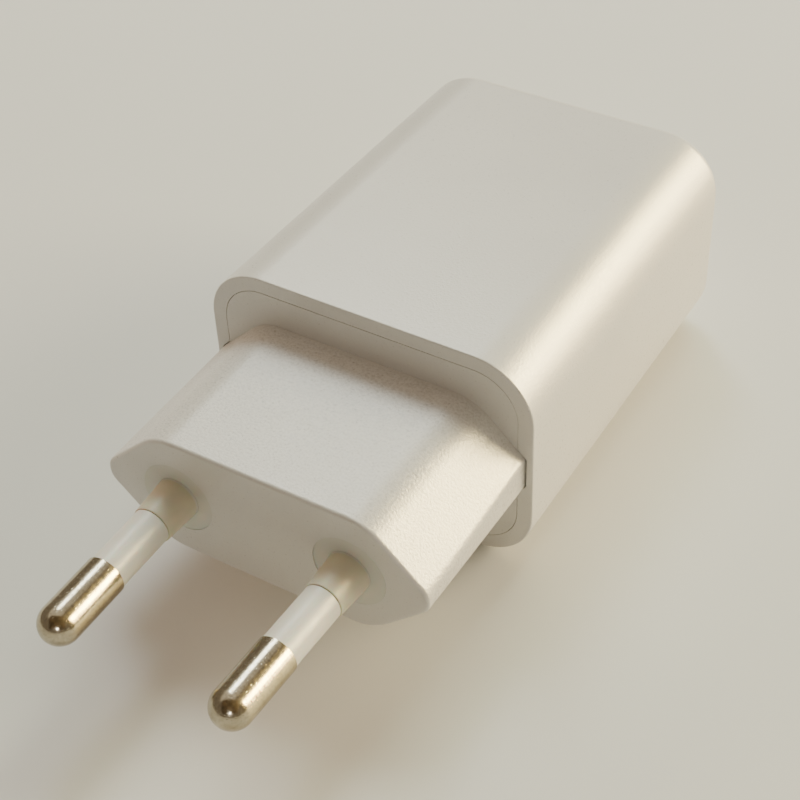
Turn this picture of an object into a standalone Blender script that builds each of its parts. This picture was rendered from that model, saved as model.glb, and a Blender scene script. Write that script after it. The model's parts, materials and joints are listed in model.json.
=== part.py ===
"""USB wall charger with a two-pin mains plug, built as the assembly that it is.

The charger lies on its broad face.  X runs across its width, the pins point to -Y,
the USB port opens to +Y and +Z is up.  The origin is on the surface that it lies on,
under the middle of its bounding box.  Lengths are in metres.
"""

import math

import bmesh
import bpy
from mathutils import Matrix, Vector

MM = 0.001

# Case
SHELL_WIDTH = 35.6 * MM
SHELL_HEIGHT = 24.0 * MM
SHELL_LENGTH = 43.4 * MM
SHELL_CORNER = 6.3 * MM
SHELL_END_ROUNDING = 1.9 * MM
SHELL_DRAFT = 0.3 * MM  # what the sides and the top lean in between the rim and the USB end
SIDE_WALL = 1.6 * MM
END_WALL = 1.8 * MM
SEAM_GAP = 0.08 * MM

# Plug block, a flattened hexagon that grows a little towards its root
PLUG_LENGTH = 18.2 * MM
FACE_POINT, FACE_HALF_HEIGHT, FACE_FLAT = 18.35 * MM, 6.7 * MM, 11.3 * MM
ROOT_POINT, ROOT_HALF_HEIGHT, ROOT_FLAT = 18.75 * MM, 6.9 * MM, 11.75 * MM
FACE_TIP, FACE_TIP_RADIUS = 17.4 * MM, 2.0 * MM
ROOT_TIP, ROOT_TIP_RADIUS = 16.95 * MM, 0.5 * MM
PLUG_RIDGE_RADIUS = 5.4 * MM
PLUG_WALL = 1.6 * MM
PLUG_FRONT_WALL = 2.4 * MM
PLATE_THICKNESS = 1.8 * MM
SKIRT_DEPTH = 3.2 * MM
SKIRT_WALL = 1.0 * MM

# Pins, to the two-pin plug standard
PIN_LENGTH = 19.0 * MM
PIN_SPACING_AT_FACE = 18.6 * MM
PIN_SPACING_AT_TIP = 17.9 * MM
PIN_RADIUS = 2.0 * MM
PIN_CORE_RADIUS = 1.5 * MM
PIN_METAL_LENGTH = 8.3 * MM
PIN_ROOT_LENGTH = 12.0 * MM
SLEEVE_RADIUS = 1.87 * MM
COLLAR_LENGTH = 4.0 * MM
COLLAR_FRONT_RADIUS = 1.97 * MM
COLLAR_BASE_RADIUS = 2.2 * MM
BUSH_RADIUS = 3.8 * MM
BUSH_FLANGE_RADIUS = 4.4 * MM
BUSH_FLANGE_THICKNESS = 1.0 * MM

# Circuit board
BOARD_WIDTH = 29.8 * MM
BOARD_THICKNESS = 1.2 * MM
BOARD_TOP = 9.0 * MM
LEAD_RADIUS = 0.3 * MM
LEAD_HOLE_RADIUS = 0.45 * MM
LEAD_STICK_OUT = 0.7 * MM
STAND_OFF = 0.1 * MM  # the gap under a part that sits on the board
BOARD_CLEARANCE = 0.15 * MM

# USB-A receptacle
PORT_WIDTH, PORT_HEIGHT, PORT_CORNER = 12.5 * MM, 5.12 * MM, 0.5 * MM
SHIELD_WALL = 0.3 * MM
SHIELD_LENGTH = 14.0 * MM
TONGUE_WIDTH, TONGUE_THICKNESS, TONGUE_LENGTH = 11.1 * MM, 1.84 * MM, 8.88 * MM
TONGUE_RECESS = 2.2 * MM
TONGUE_BACK_GAP = 0.92 * MM
CONTACT_OFFSETS = (-3.5 * MM, -1.0 * MM, 1.0 * MM, 3.5 * MM)
CONTACT_WIDTH, CONTACT_THICKNESS = 1.0 * MM, 0.2 * MM
CONTACT_SLOT_WIDTH = 1.3 * MM

# Transformer
CORE_WIDTH, CORE_LEG_LENGTH, CORE_THICKNESS = 13.0 * MM, 6.0 * MM, 6.2 * MM
CORE_WINDOW_WIDTH, CORE_WINDOW_DEPTH, CORE_MIDDLE_LEG = 10.0 * MM, 4.6 * MM, 2.8 * MM
TRANSFORMER_Y = 13.0 * MM
TRANSFORMER_Z = 15.1 * MM

ARC_STEPS = 6
ROUND_STEPS = 24
SMALL_ROUND_STEPS = 8
EPSILON = 1e-6

# Where the pieces lie along Y
Y_TIP = -(PIN_LENGTH + PLUG_LENGTH + SHELL_LENGTH) / 2
Y_FACE = Y_TIP + PIN_LENGTH
Y_RIM = Y_FACE + PLUG_LENGTH
Y_END = Y_RIM + SHELL_LENGTH
Y_END_WALL = Y_END - END_WALL
Z_MID = SHELL_HEIGHT / 2
Y_SHIELD_FRONT = Y_END_WALL - 0.15 * MM
Y_SHIELD_BACK = Y_SHIELD_FRONT - SHIELD_LENGTH
Y_TONGUE_TIP = Y_SHIELD_FRONT - TONGUE_RECESS
Y_TONGUE_ROOT = Y_TONGUE_TIP - TONGUE_LENGTH
Y_CONTACT_PIVOT = Y_TONGUE_ROOT + 0.75 * MM
TONGUE_TOP = Z_MID + PORT_HEIGHT / 2 - TONGUE_BACK_GAP
TONGUE_BOTTOM = TONGUE_TOP - TONGUE_THICKNESS
Z_CONTACT = TONGUE_BOTTOM + 0.65 * MM

# Surface finishes: colour, roughness, metallic
FINISHES = {
    "white_case": ((0.83, 0.80, 0.76), 0.45, 0.0),
    "bush_plastic": ((0.80, 0.76, 0.66), 0.50, 0.0),
    "sleeve_plastic": ((0.85, 0.83, 0.79), 0.40, 0.0),
    "nickel": ((0.66, 0.60, 0.52), 0.25, 1.0),
    "phosphor_bronze": ((0.75, 0.52, 0.28), 0.30, 1.0),
    "gilt_contact": ((0.90, 0.72, 0.36), 0.25, 1.0),
    "tinned_steel": ((0.62, 0.62, 0.62), 0.30, 1.0),
    "white_insulator": ((0.85, 0.85, 0.83), 0.45, 0.0),
    "board": ((0.36, 0.42, 0.16), 0.55, 0.0),
    "ferrite": ((0.07, 0.07, 0.075), 0.60, 0.0),
    "bobbin_plastic": ((0.06, 0.06, 0.06), 0.50, 0.0),
    "enamelled_copper": ((0.62, 0.25, 0.10), 0.35, 0.8),
    "winding_tape": ((0.85, 0.62, 0.08), 0.40, 0.0),
    "capacitor_sleeve": ((0.04, 0.05, 0.09), 0.35, 0.0),
    "resistor_coating": ((0.30, 0.42, 0.38), 0.60, 0.0),
    "ceramic_blue": ((0.06, 0.16, 0.42), 0.35, 0.0),
    "epoxy_black": ((0.025, 0.025, 0.028), 0.55, 0.0),
    "fish_paper": ((0.80, 0.78, 0.70), 0.70, 0.0),
}

lead_holes = []  # (x, y) of every round hole in the board


# ---------------------------------------------------------------- scene set-up


def clear_scene():
    for obj in list(bpy.data.objects):
        bpy.data.objects.remove(obj)


def new_collection(name):
    collection = bpy.data.collections.new(name)
    bpy.context.scene.collection.children.link(collection)
    return collection


def make_material(name):
    colour, roughness, metallic = FINISHES[name]
    material = bpy.data.materials.new(name)
    material.use_nodes = True
    shader = material.node_tree.nodes["Principled BSDF"]
    shader.inputs["Base Color"].default_value = (*colour, 1.0)
    shader.inputs["Roughness"].default_value = roughness
    shader.inputs["Metallic"].default_value = metallic
    return material


clear_scene()
PARTS = new_collection("usb_wall_charger")
CUTTERS = new_collection("cutters")
MATERIALS = {name: make_material(name) for name in FINISHES}
ROOT = bpy.data.objects.new("charger_frame", None)
PARTS.objects.link(ROOT)


# ------------------------------------------------------------------- helpers


def add_part(name, bm, finish, location=(0, 0, 0), parent=ROOT):
    """A named part from a bmesh whose coordinates are measured from its location."""
    bmesh.ops.recalc_face_normals(bm, faces=bm.faces)
    mesh = bpy.data.meshes.new(name)
    bm.to_mesh(mesh)
    bm.free()
    mesh.materials.append(MATERIALS[finish])
    mesh.shade_smooth()
    mesh.set_sharp_from_angle(angle=math.radians(35))
    obj = bpy.data.objects.new(name, mesh)
    obj.location = location
    obj.parent = parent
    PARTS.objects.link(obj)
    return obj


def add_tool(name, bm, location=(0, 0, 0), parent=ROOT):
    """A helper solid that a Boolean modifier cuts with or joins on."""
    bmesh.ops.recalc_face_normals(bm, faces=bm.faces)
    mesh = bpy.data.meshes.new(name)
    bm.to_mesh(mesh)
    bm.free()
    obj = bpy.data.objects.new(name, mesh)
    obj.location = location
    obj.parent = parent
    obj.hide_render = True
    obj.display_type = "WIRE"
    CUTTERS.objects.link(obj)
    return obj


def boolean(target, tool, operation):
    modifier = target.modifiers.new(tool.name, "BOOLEAN")
    modifier.operation = operation
    modifier.solver = "EXACT"
    modifier.object = tool


def cut(target, tool):
    boolean(target, tool, "DIFFERENCE")


def join(target, tool):
    boolean(target, tool, "UNION")


def add_block(bm, low, high):
    """A cuboid between two opposite corners, added to bm.  It returns its new edges."""
    low, high = Vector(low), Vector(high)
    size = high - low
    placed = Matrix.Translation((low + high) / 2) @ Matrix.Diagonal((*size, 1.0))
    made = bmesh.ops.create_cube(bm, size=1.0, matrix=placed)
    return {edge for vert in made["verts"] for edge in vert.link_edges}


def block(low, high, rounding=0.0, segments=2):
    bm = bmesh.new()
    edges = add_block(bm, low, high)
    if rounding:
        bmesh.ops.bevel(
            bm, geom=list(edges), offset=rounding, segments=segments, affect="EDGES", profile=0.5
        )
    return bm


def add_rod(bm, centre, radius, low, high, steps=SMALL_ROUND_STEPS):
    """An upright round rod, added to bm."""
    x, y = centre
    bmesh.ops.create_cone(
        bm,
        cap_ends=True,
        segments=steps,
        radius1=radius,
        radius2=radius,
        depth=high - low,
        matrix=Matrix.Translation((x, y, (low + high) / 2)),
    )


def rounded_outline(corners, radii, steps=ARC_STEPS):
    """The closed outline through the corners, each rounded by an arc of its radius."""
    points = []
    for index, corner in enumerate(corners):
        here = Vector(corner)
        back = (Vector(corners[index - 1]) - here).normalized()
        ahead = (Vector(corners[(index + 1) % len(corners)]) - here).normalized()
        half_angle = back.angle(ahead) / 2
        radius = radii[index]
        centre = here + (back + ahead).normalized() * radius / math.sin(half_angle)
        start = here + back * radius / math.tan(half_angle) - centre
        end = here + ahead * radius / math.tan(half_angle) - centre
        first = math.atan2(start.y, start.x)
        sweep = math.remainder(math.atan2(end.y, end.x) - first, math.tau)
        for step in range(steps + 1):
            angle = first + sweep * step / steps
            points.append(centre + radius * Vector((math.cos(angle), math.sin(angle))))
    return points


def rounded_rectangle(width, height, radius, steps=ARC_STEPS):
    x, z = width / 2, height / 2
    return rounded_outline([(x, -z), (x, z), (-x, z), (-x, -z)], [radius] * 4, steps)


def plug_outline(point, half_height, flat, tip, tip_radius, ridge_radius=PLUG_RIDGE_RADIUS):
    """The flattened hexagon, its two side points cut off at tip.

    point is where the slopes would meet, and flat is half the width of the top face.
    """
    tip_height = half_height * (point - tip) / (point - flat)
    right = [(tip, -tip_height), (tip, tip_height), (flat, half_height)]
    left = [(-flat, half_height), (-tip, tip_height), (-tip, -tip_height)]
    bottom = [(-flat, -half_height), (flat, -half_height)]
    radii = [tip_radius, tip_radius, ridge_radius, ridge_radius, tip_radius, tip_radius]
    return rounded_outline(right + left + bottom, radii + [ridge_radius, ridge_radius])


def loft(sections):
    """A solid along Y through sections, each (y, outline in X and Z) with equally many points."""
    bm = bmesh.new()
    rings = [[bm.verts.new((x, y, z)) for x, z in outline] for y, outline in sections]
    for ring, following in zip(rings, rings[1:]):
        for index in range(len(ring)):
            quad = (ring[index - 1], ring[index], following[index], following[index - 1])
            bm.faces.new(quad)
    bm.faces.new(rings[0])
    bm.faces.new(rings[-1])
    return bm


def side_profile(points, half_width):
    """A solid from a closed outline in Y and Z, as wide in X as twice half_width."""
    bm = bmesh.new()
    face = bm.faces.new([bm.verts.new((-half_width, y, z)) for y, z in points])
    made = bmesh.ops.extrude_face_region(bm, geom=[face])
    moved = [item for item in made["geom"] if isinstance(item, bmesh.types.BMVert)]
    bmesh.ops.translate(bm, verts=moved, vec=(2 * half_width, 0, 0))
    return bm


def plan_profile(points, low, high):
    """A solid from a closed outline in X and Y, between two heights."""
    bm = bmesh.new()
    face = bm.faces.new([bm.verts.new((x, y, low)) for x, y in points])
    made = bmesh.ops.extrude_face_region(bm, geom=[face])
    moved = [item for item in made["geom"] if isinstance(item, bmesh.types.BMVert)]
    bmesh.ops.translate(bm, verts=moved, vec=(0, 0, high - low))
    return bm


def turned_part(name, profile, finish, location=(0, 0, 0), parent=ROOT, steps=ROUND_STEPS):
    """A round part about its own Z axis, from a profile of (radius, z) that runs downwards."""
    mesh = bpy.data.meshes.new(name)
    points = [(radius, 0.0, z) for radius, z in profile]
    edges = [(index, index + 1) for index in range(len(points) - 1)]
    mesh.from_pydata(points, edges, [])
    mesh.materials.append(MATERIALS[finish])
    obj = bpy.data.objects.new(name, mesh)
    obj.location = location
    obj.parent = parent
    PARTS.objects.link(obj)
    screw = obj.modifiers.new("Screw", "SCREW")
    screw.steps = steps
    screw.render_steps = steps
    screw.use_merge_vertices = True
    screw.merge_threshold = 0.01 * MM
    screw.use_smooth_shade = True
    return obj


def bent_strip(name, path, width, thickness, finish, location):
    """A strip of sheet metal, bent along a path of (y, z) and as wide in X as width."""
    bm = bmesh.new()
    row = [bm.verts.new((-width / 2, y, z)) for y, z in path]
    edges = [bm.edges.new(pair) for pair in zip(row, row[1:])]
    made = bmesh.ops.extrude_edge_only(bm, edges=edges)
    moved = [item for item in made["geom"] if isinstance(item, bmesh.types.BMVert)]
    bmesh.ops.translate(bm, verts=moved, vec=(width, 0, 0))
    obj = add_part(name, bm, finish, location)
    solidify = obj.modifiers.new("Solidify", "SOLIDIFY")
    solidify.thickness = thickness
    solidify.offset = 0.0
    solidify.use_even_offset = True
    return obj


def wire_tool(name, points, radius):
    """A round wire through the points, as a mesh that can be joined on."""
    curve = bpy.data.curves.new(name, "CURVE")
    curve.dimensions = "3D"
    curve.bevel_depth = radius
    curve.bevel_resolution = 1
    curve.use_fill_caps = True
    spline = curve.splines.new("POLY")
    spline.points.add(len(points) - 1)
    for point, position in zip(spline.points, points):
        point.co = (*position, 1.0)
    source = bpy.data.objects.new(name + "_curve", curve)
    CUTTERS.objects.link(source)
    graph = bpy.context.evaluated_depsgraph_get()
    mesh = bpy.data.meshes.new_from_object(source.evaluated_get(graph))
    bpy.data.objects.remove(source)
    bm = bmesh.new()
    bm.from_mesh(mesh)
    bmesh.ops.remove_doubles(bm, verts=bm.verts, dist=EPSILON)
    return add_tool(name, bm)


def leads_tool(name, places, top, radius=LEAD_RADIUS):
    """The straight leads of a part, down through holes in the board."""
    bm = bmesh.new()
    bottom = BOARD_TOP - BOARD_THICKNESS - LEAD_STICK_OUT
    for place in places:
        add_rod(bm, place, radius, bottom, top)
        lead_holes.append(place)
    return add_tool(name, bm)


# ---------------------------------------------------------------------- case


def tapered_box(width, length, height, corner, draft, corner_steps):
    """A box along +Y from the origin, its long edges rounded.

    Its sides and its top lean in by draft at the far end, and its underside stays level.
    """
    bm = bmesh.new()
    add_block(bm, (-width / 2, 0, -height / 2), (width / 2, length, height / 2))
    long_edges = [e for e in bm.edges if abs(e.verts[0].co.y - e.verts[1].co.y) > EPSILON]
    bmesh.ops.bevel(
        bm, geom=long_edges, offset=corner, segments=corner_steps, affect="EDGES", profile=0.5
    )
    for vert in bm.verts:
        if vert.co.y > EPSILON:
            vert.co.x *= 1 - 2 * draft / width
        if vert.co.y > EPSILON and vert.co.z > 0:
            vert.co.z *= 1 - 2 * draft / height
    return bm


def make_outer_shell():
    bm = tapered_box(SHELL_WIDTH, SHELL_LENGTH, SHELL_HEIGHT, SHELL_CORNER, SHELL_DRAFT, 8)
    end_edges = [e for e in bm.edges if min(v.co.y for v in e.verts) > SHELL_LENGTH - EPSILON]
    bmesh.ops.bevel(
        bm,
        geom=end_edges,
        offset=SHELL_END_ROUNDING,
        segments=4,
        affect="EDGES",
        profile=0.5,
    )
    rim = (0, Y_RIM, Z_MID)
    shell = add_part("outer_shell", bm, "white_case", rim)

    past_rim = 1.0 * MM
    cavity = tapered_box(
        SHELL_WIDTH - 2 * SIDE_WALL,
        SHELL_LENGTH - END_WALL + past_rim,
        SHELL_HEIGHT - 2 * SIDE_WALL,
        SHELL_CORNER - SIDE_WALL,
        0.0,
        6,
    )
    cut(shell, add_tool("shell_cavity", cavity, (0, Y_RIM - past_rim, Z_MID)))

    notch_gap = 0.15 * MM
    notch = plug_outline(
        ROOT_POINT + notch_gap,
        ROOT_HALF_HEIGHT,
        ROOT_FLAT,
        ROOT_TIP + notch_gap,
        ROOT_TIP_RADIUS,
    )
    notch_end = PLATE_THICKNESS + 0.1 * MM
    notch_tool = loft([(-past_rim, notch), (notch_end, notch)])
    cut(shell, add_tool("shell_side_notches", notch_tool, rim))

    lead_in = 0.5 * MM
    opening_width, opening_height = PORT_WIDTH + 0.4 * MM, PORT_HEIGHT + 0.4 * MM
    straight = rounded_rectangle(opening_width, opening_height, 0.7 * MM, 3)
    flared = rounded_rectangle(
        opening_width + 4 * lead_in, opening_height + 4 * lead_in, 0.7 * MM + 2 * lead_in, 3
    )
    port = loft(
        [
            (SHELL_LENGTH - END_WALL - 1.0 * MM, straight),
            (SHELL_LENGTH - lead_in, straight),
            (SHELL_LENGTH + lead_in, flared),
        ]
    )
    cut(shell, add_tool("usb_opening", port, rim))
    for tool in make_board_rails():
        join(shell, tool)


def make_board_rails():
    """Ribs along the inner side walls, above and below the board's edges."""
    rail_reach = 2.3 * MM
    rail_height = 0.9 * MM
    wall_overlap = 0.4 * MM
    inner = SHELL_WIDTH / 2 - SIDE_WALL
    below = BOARD_TOP - BOARD_THICKNESS - BOARD_CLEARANCE
    above = BOARD_TOP + BOARD_CLEARANCE
    spans = {
        "lower_rail": (3.0 * MM, 36.0 * MM, below - rail_height, below),
        "upper_rail": (14.5 * MM, 21.5 * MM, above, above + rail_height),
    }
    tools = []
    for name, (start, end, low, high) in spans.items():
        for side, sign in (("left", -1), ("right", 1)):
            near, far = sorted((sign * (inner - rail_reach), sign * (inner + wall_overlap)))
            rail = block((near, start, low), (far, end, high))
            tools.append(add_tool(f"{name}_{side}", rail))
    return tools


def make_plug_cap():
    face = plug_outline(FACE_POINT, FACE_HALF_HEIGHT, FACE_FLAT, FACE_TIP, FACE_TIP_RADIUS)
    root = plug_outline(ROOT_POINT, ROOT_HALF_HEIGHT, ROOT_FLAT, ROOT_TIP, ROOT_TIP_RADIUS)
    tab_end = PLUG_LENGTH + PLATE_THICKNESS - 0.2 * MM
    body = loft([(0, face), (PLUG_LENGTH, root), (tab_end, root)])
    cap = add_part("plug_cap", body, "white_case", (0, Y_FACE, Z_MID))

    inset = SIDE_WALL + SEAM_GAP
    plate_outline = rounded_rectangle(
        SHELL_WIDTH - 2 * inset, SHELL_HEIGHT - 2 * inset, SHELL_CORNER - inset
    )
    plate = loft([(0, plate_outline), (PLATE_THICKNESS, plate_outline)])
    join(cap, add_tool("cap_plate", plate, (0, Y_RIM, Z_MID)))

    skirt_outline = rounded_rectangle(
        SHELL_WIDTH - 2 * inset - 0.2 * MM,
        SHELL_HEIGHT - 2 * inset - 0.2 * MM,
        SHELL_CORNER - inset - 0.1 * MM,
    )
    skirt = loft(
        [(PLATE_THICKNESS / 2, skirt_outline), (PLATE_THICKNESS + SKIRT_DEPTH, skirt_outline)]
    )
    join(cap, add_tool("cap_skirt", skirt, (0, Y_RIM, Z_MID)))
    inner_width = SHELL_WIDTH - 2 * (inset + SKIRT_WALL)
    inner_height = SHELL_HEIGHT - 2 * (inset + SKIRT_WALL)
    inner_outline = rounded_rectangle(inner_width, inner_height, SHELL_CORNER - inset - SKIRT_WALL)
    pocket = loft([(PLATE_THICKNESS, inner_outline), (PLATE_THICKNESS + 5 * MM, inner_outline)])
    cut(cap, add_tool("cap_skirt_inside", pocket, (0, Y_RIM, Z_MID)))

    hollow = plug_outline(
        ROOT_POINT - 2.2 * MM,
        FACE_HALF_HEIGHT - PLUG_WALL,
        FACE_FLAT - 0.7 * MM,
        ROOT_TIP - 2 * PLUG_WALL,
        1.0 * MM,
        ridge_radius=4.0 * MM,
    )
    hollow_tool = loft([(PLUG_FRONT_WALL, hollow), (PLUG_LENGTH + PLATE_THICKNESS + MM, hollow)])
    cut(cap, add_tool("plug_hollow", hollow_tool, (0, Y_FACE, Z_MID)))

    bores = bmesh.new()
    for sign in (-1, 1):
        bmesh.ops.create_cone(
            bores,
            cap_ends=True,
            segments=ROUND_STEPS * 2,
            radius1=BUSH_RADIUS + SEAM_GAP,
            radius2=BUSH_RADIUS + SEAM_GAP,
            depth=2 * (PLUG_FRONT_WALL + MM),
            matrix=Matrix.Translation((sign * PIN_SPACING_AT_FACE / 2, 0, 0))
            @ Matrix.Rotation(math.pi / 2, 4, "X"),
        )
    cut(cap, add_tool("bush_bores", bores, (0, Y_FACE, Z_MID)))


# ---------------------------------------------------------------------- pins


def half_round(radius, centre_z, steps=6):
    """The (radius, z) points of a hemisphere, from its pole down to its equator."""
    quarter = math.pi / 2
    angles = [quarter * (1 - step / steps) for step in range(steps + 1)]
    return [(radius * math.cos(a), centre_z + radius * math.sin(a)) for a in angles]


def make_pin(side, sign):
    """One plug pin with its sleeve and bush.  All three share a slightly converging axis."""
    lean = math.atan((PIN_SPACING_AT_FACE - PIN_SPACING_AT_TIP) / 2 / PIN_LENGTH)
    length = PIN_LENGTH / math.cos(lean)
    axis = bpy.data.objects.new(f"pin_axis_{side}", None)
    axis.location = (sign * PIN_SPACING_AT_FACE / 2, Y_FACE, Z_MID)
    axis.rotation_euler = (math.pi / 2, 0, -sign * lean)
    axis.parent = ROOT
    PARTS.objects.link(axis)

    metal_start = length - PIN_METAL_LENGTH
    flange_top = -PLUG_FRONT_WALL - BUSH_FLANGE_THICKNESS - 0.3 * MM
    tip = half_round(PIN_RADIUS, length - PIN_RADIUS)
    tip[0] = (0.0, length)
    shank = [
        (PIN_RADIUS, metal_start),
        (PIN_CORE_RADIUS, metal_start),
        (PIN_CORE_RADIUS, flange_top),
        (2.1 * MM, flange_top),
        (2.1 * MM, flange_top - 0.6 * MM),
        (PIN_CORE_RADIUS, flange_top - 0.6 * MM),
        (PIN_CORE_RADIUS, 0.4 * MM - PIN_ROOT_LENGTH),
        (PIN_CORE_RADIUS - 0.4 * MM, -PIN_ROOT_LENGTH),
        (0.0, -PIN_ROOT_LENGTH),
    ]
    turned_part(f"pin_{side}", tip + shank, "nickel", parent=axis)

    gap = 0.05 * MM
    bore = PIN_CORE_RADIUS + gap
    turned_part(
        f"pin_sleeve_{side}",
        [
            (bore, metal_start - gap),
            (SLEEVE_RADIUS, metal_start - gap),
            (SLEEVE_RADIUS, COLLAR_LENGTH + gap),
            (bore, COLLAR_LENGTH + gap),
            (bore, metal_start - gap),
        ],
        "sleeve_plastic",
        parent=axis,
    )

    face_drop = BUSH_RADIUS * math.sin(lean)  # keeps the leaning disc inside the plug's face
    turned_part(
        f"pin_bush_{side}",
        [
            (bore, COLLAR_LENGTH),
            (COLLAR_FRONT_RADIUS - 0.1 * MM, COLLAR_LENGTH),
            (COLLAR_FRONT_RADIUS, COLLAR_LENGTH - 0.1 * MM),
            (COLLAR_BASE_RADIUS, -face_drop),
            (BUSH_RADIUS, -face_drop),
            (BUSH_RADIUS, -PLUG_FRONT_WALL - 0.15 * MM),
            (BUSH_FLANGE_RADIUS, -PLUG_FRONT_WALL - 0.15 * MM),
            (BUSH_FLANGE_RADIUS, -PLUG_FRONT_WALL - BUSH_FLANGE_THICKNESS),
            (bore, -PLUG_FRONT_WALL - BUSH_FLANGE_THICKNESS),
            (bore, COLLAR_LENGTH),
        ],
        "bush_plastic",
        parent=axis,
        steps=ROUND_STEPS * 2,
    )


def make_pin_contact(side, sign):
    """A bronze strip, soldered to the board, that presses on the underside of a pin's root."""
    strip_width, strip_thickness = 3.0 * MM, 0.3 * MM
    foot = BOARD_TOP + 0.05 * MM + strip_thickness / 2
    touch = Z_MID - PIN_CORE_RADIUS - 0.05 * MM - strip_thickness / 2
    path = [
        (3.2 * MM, 0.0),
        (0.4 * MM, 0.0),
        (-0.5 * MM, 0.35 * MM),
        (-2.6 * MM, touch - foot),
        (-13.0 * MM, touch - foot),
        (-14.5 * MM, touch - foot - 0.6 * MM),
    ]
    bent_strip(
        f"pin_contact_{side}",
        path,
        strip_width,
        strip_thickness,
        "phosphor_bronze",
        (sign * (PIN_SPACING_AT_FACE / 2 + 0.15 * MM), 0, foot),
    )


# -------------------------------------------------------------- USB receptacle


def make_usb_shield():
    outer_width, outer_height = PORT_WIDTH + 2 * SHIELD_WALL, PORT_HEIGHT + 2 * SHIELD_WALL
    back = (0, Y_SHIELD_BACK, Z_MID)
    outer = rounded_rectangle(outer_width, outer_height, PORT_CORNER + SHIELD_WALL, 3)
    inner = rounded_rectangle(PORT_WIDTH, PORT_HEIGHT, PORT_CORNER, 3)
    shield = add_part(
        "usb_shield", loft([(0, outer), (SHIELD_LENGTH, outer)]), "tinned_steel", back
    )
    through = loft([(-MM, inner), (SHIELD_LENGTH + MM, inner)])
    cut(shield, add_tool("shield_inside", through, back))

    side = PORT_WIDTH / 2 + SHIELD_WALL
    start, end = 4.5 * MM, 6.5 * MM
    leg_top = -PORT_HEIGHT / 2 + 1.4 * MM
    leg_bottom = BOARD_TOP - BOARD_THICKNESS - LEAD_STICK_OUT - Z_MID
    for name, sign in (("left", -1), ("right", 1)):
        near, far = sorted((sign * (side - SHIELD_WALL), sign * side))
        leg = block((near, start, leg_bottom), (far, end, leg_top))
        join(shield, add_tool(f"shield_leg_{name}", leg, back))


def make_usb_tongue():
    gap = 0.12 * MM
    base_width = PORT_WIDTH - 2 * gap
    base = block(
        (-base_width / 2, Y_SHIELD_BACK + 0.3 * MM, Z_MID - PORT_HEIGHT / 2 + gap),
        (base_width / 2, Y_TONGUE_ROOT, Z_MID + PORT_HEIGHT / 2 - gap),
        rounding=PORT_CORNER / 2,
        segments=1,
    )
    tongue = add_part("usb_tongue", base, "white_insulator")
    blade = block(
        (-TONGUE_WIDTH / 2, Y_TONGUE_ROOT - MM, TONGUE_BOTTOM),
        (TONGUE_WIDTH / 2, Y_TONGUE_TIP, TONGUE_TOP),
        rounding=0.2 * MM,
        segments=1,
    )
    join(tongue, add_tool("tongue_blade", blade))
    slot_top = Z_CONTACT + 0.4 * MM
    tail_slot_bottom = Z_CONTACT - 0.3 * MM
    slot_end = Y_TONGUE_TIP - 0.4 * MM
    groove_start = Y_TONGUE_ROOT + 0.3 * MM
    outline = [
        (Y_SHIELD_BACK - MM, tail_slot_bottom),
        (groove_start, tail_slot_bottom),
        (groove_start, TONGUE_BOTTOM - 0.5 * MM),
        (slot_end, TONGUE_BOTTOM - 0.5 * MM),
        (slot_end, slot_top),
        (Y_SHIELD_BACK - MM, slot_top),
    ]
    for number, offset in enumerate(CONTACT_OFFSETS, start=1):
        slot = side_profile(outline, CONTACT_SLOT_WIDTH / 2)
        cut(tongue, add_tool(f"contact_slot_{number}", slot, (offset, 0, 0)))


def make_usb_contact(number, offset):
    """A contact spring, whose origin is where it bends, and its fixed solder tail."""
    reach = Y_TONGUE_TIP - 0.65 * MM - Y_CONTACT_PIVOT
    leaf = [
        (0.0, 0.0),
        (2.2 * MM, -0.1 * MM),
        (reach - 2.3 * MM, -0.9 * MM),
        (reach - 1.4 * MM, -1.0 * MM),
        (reach - 0.2 * MM, -0.35 * MM),
        (reach, -0.3 * MM),
    ]
    bent_strip(
        f"usb_contact_{number}",
        leaf,
        CONTACT_WIDTH,
        CONTACT_THICKNESS,
        "gilt_contact",
        (offset, Y_CONTACT_PIVOT, Z_CONTACT),
    )
    behind = Y_SHIELD_BACK - 0.45 * MM - Y_CONTACT_PIVOT
    down = BOARD_TOP - BOARD_THICKNESS - LEAD_STICK_OUT - Z_CONTACT
    tail = [(-0.1 * MM, 0.0), (behind + 0.15 * MM, 0.0), (behind, -0.15 * MM), (behind, down)]
    bent_strip(
        f"usb_contact_tail_{number}",
        tail,
        0.6 * MM,
        CONTACT_THICKNESS,
        "gilt_contact",
        (offset, Y_CONTACT_PIVOT, Z_CONTACT),
    )
    lead_holes.append((offset, Y_CONTACT_PIVOT + behind))


# ----------------------------------------------------------------- transformer


def e_core_outline():
    """An E in X and Y, its back at -Y and its three legs pointing to +Y, ending at y = 0."""
    back = -CORE_LEG_LENGTH
    shelf = -CORE_WINDOW_DEPTH
    side, window, middle = CORE_WIDTH / 2, CORE_WINDOW_WIDTH / 2, CORE_MIDDLE_LEG / 2
    half = [(side, back), (side, 0), (window, 0), (window, shelf), (middle, shelf), (middle, 0)]
    return half + [(-x, y) for x, y in reversed(half)]


def make_cores():
    half_gap = 0.05 * MM
    half_thickness = CORE_THICKNESS / 2
    for name, sign in (("front", -1), ("rear", 1)):
        outline = [(x, -sign * (y - half_gap)) for x, y in e_core_outline()]
        bm = plan_profile(outline, -half_thickness, half_thickness)
        add_part(f"transformer_core_{name}", bm, "ferrite", (0, TRANSFORMER_Y, TRANSFORMER_Z))


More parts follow.
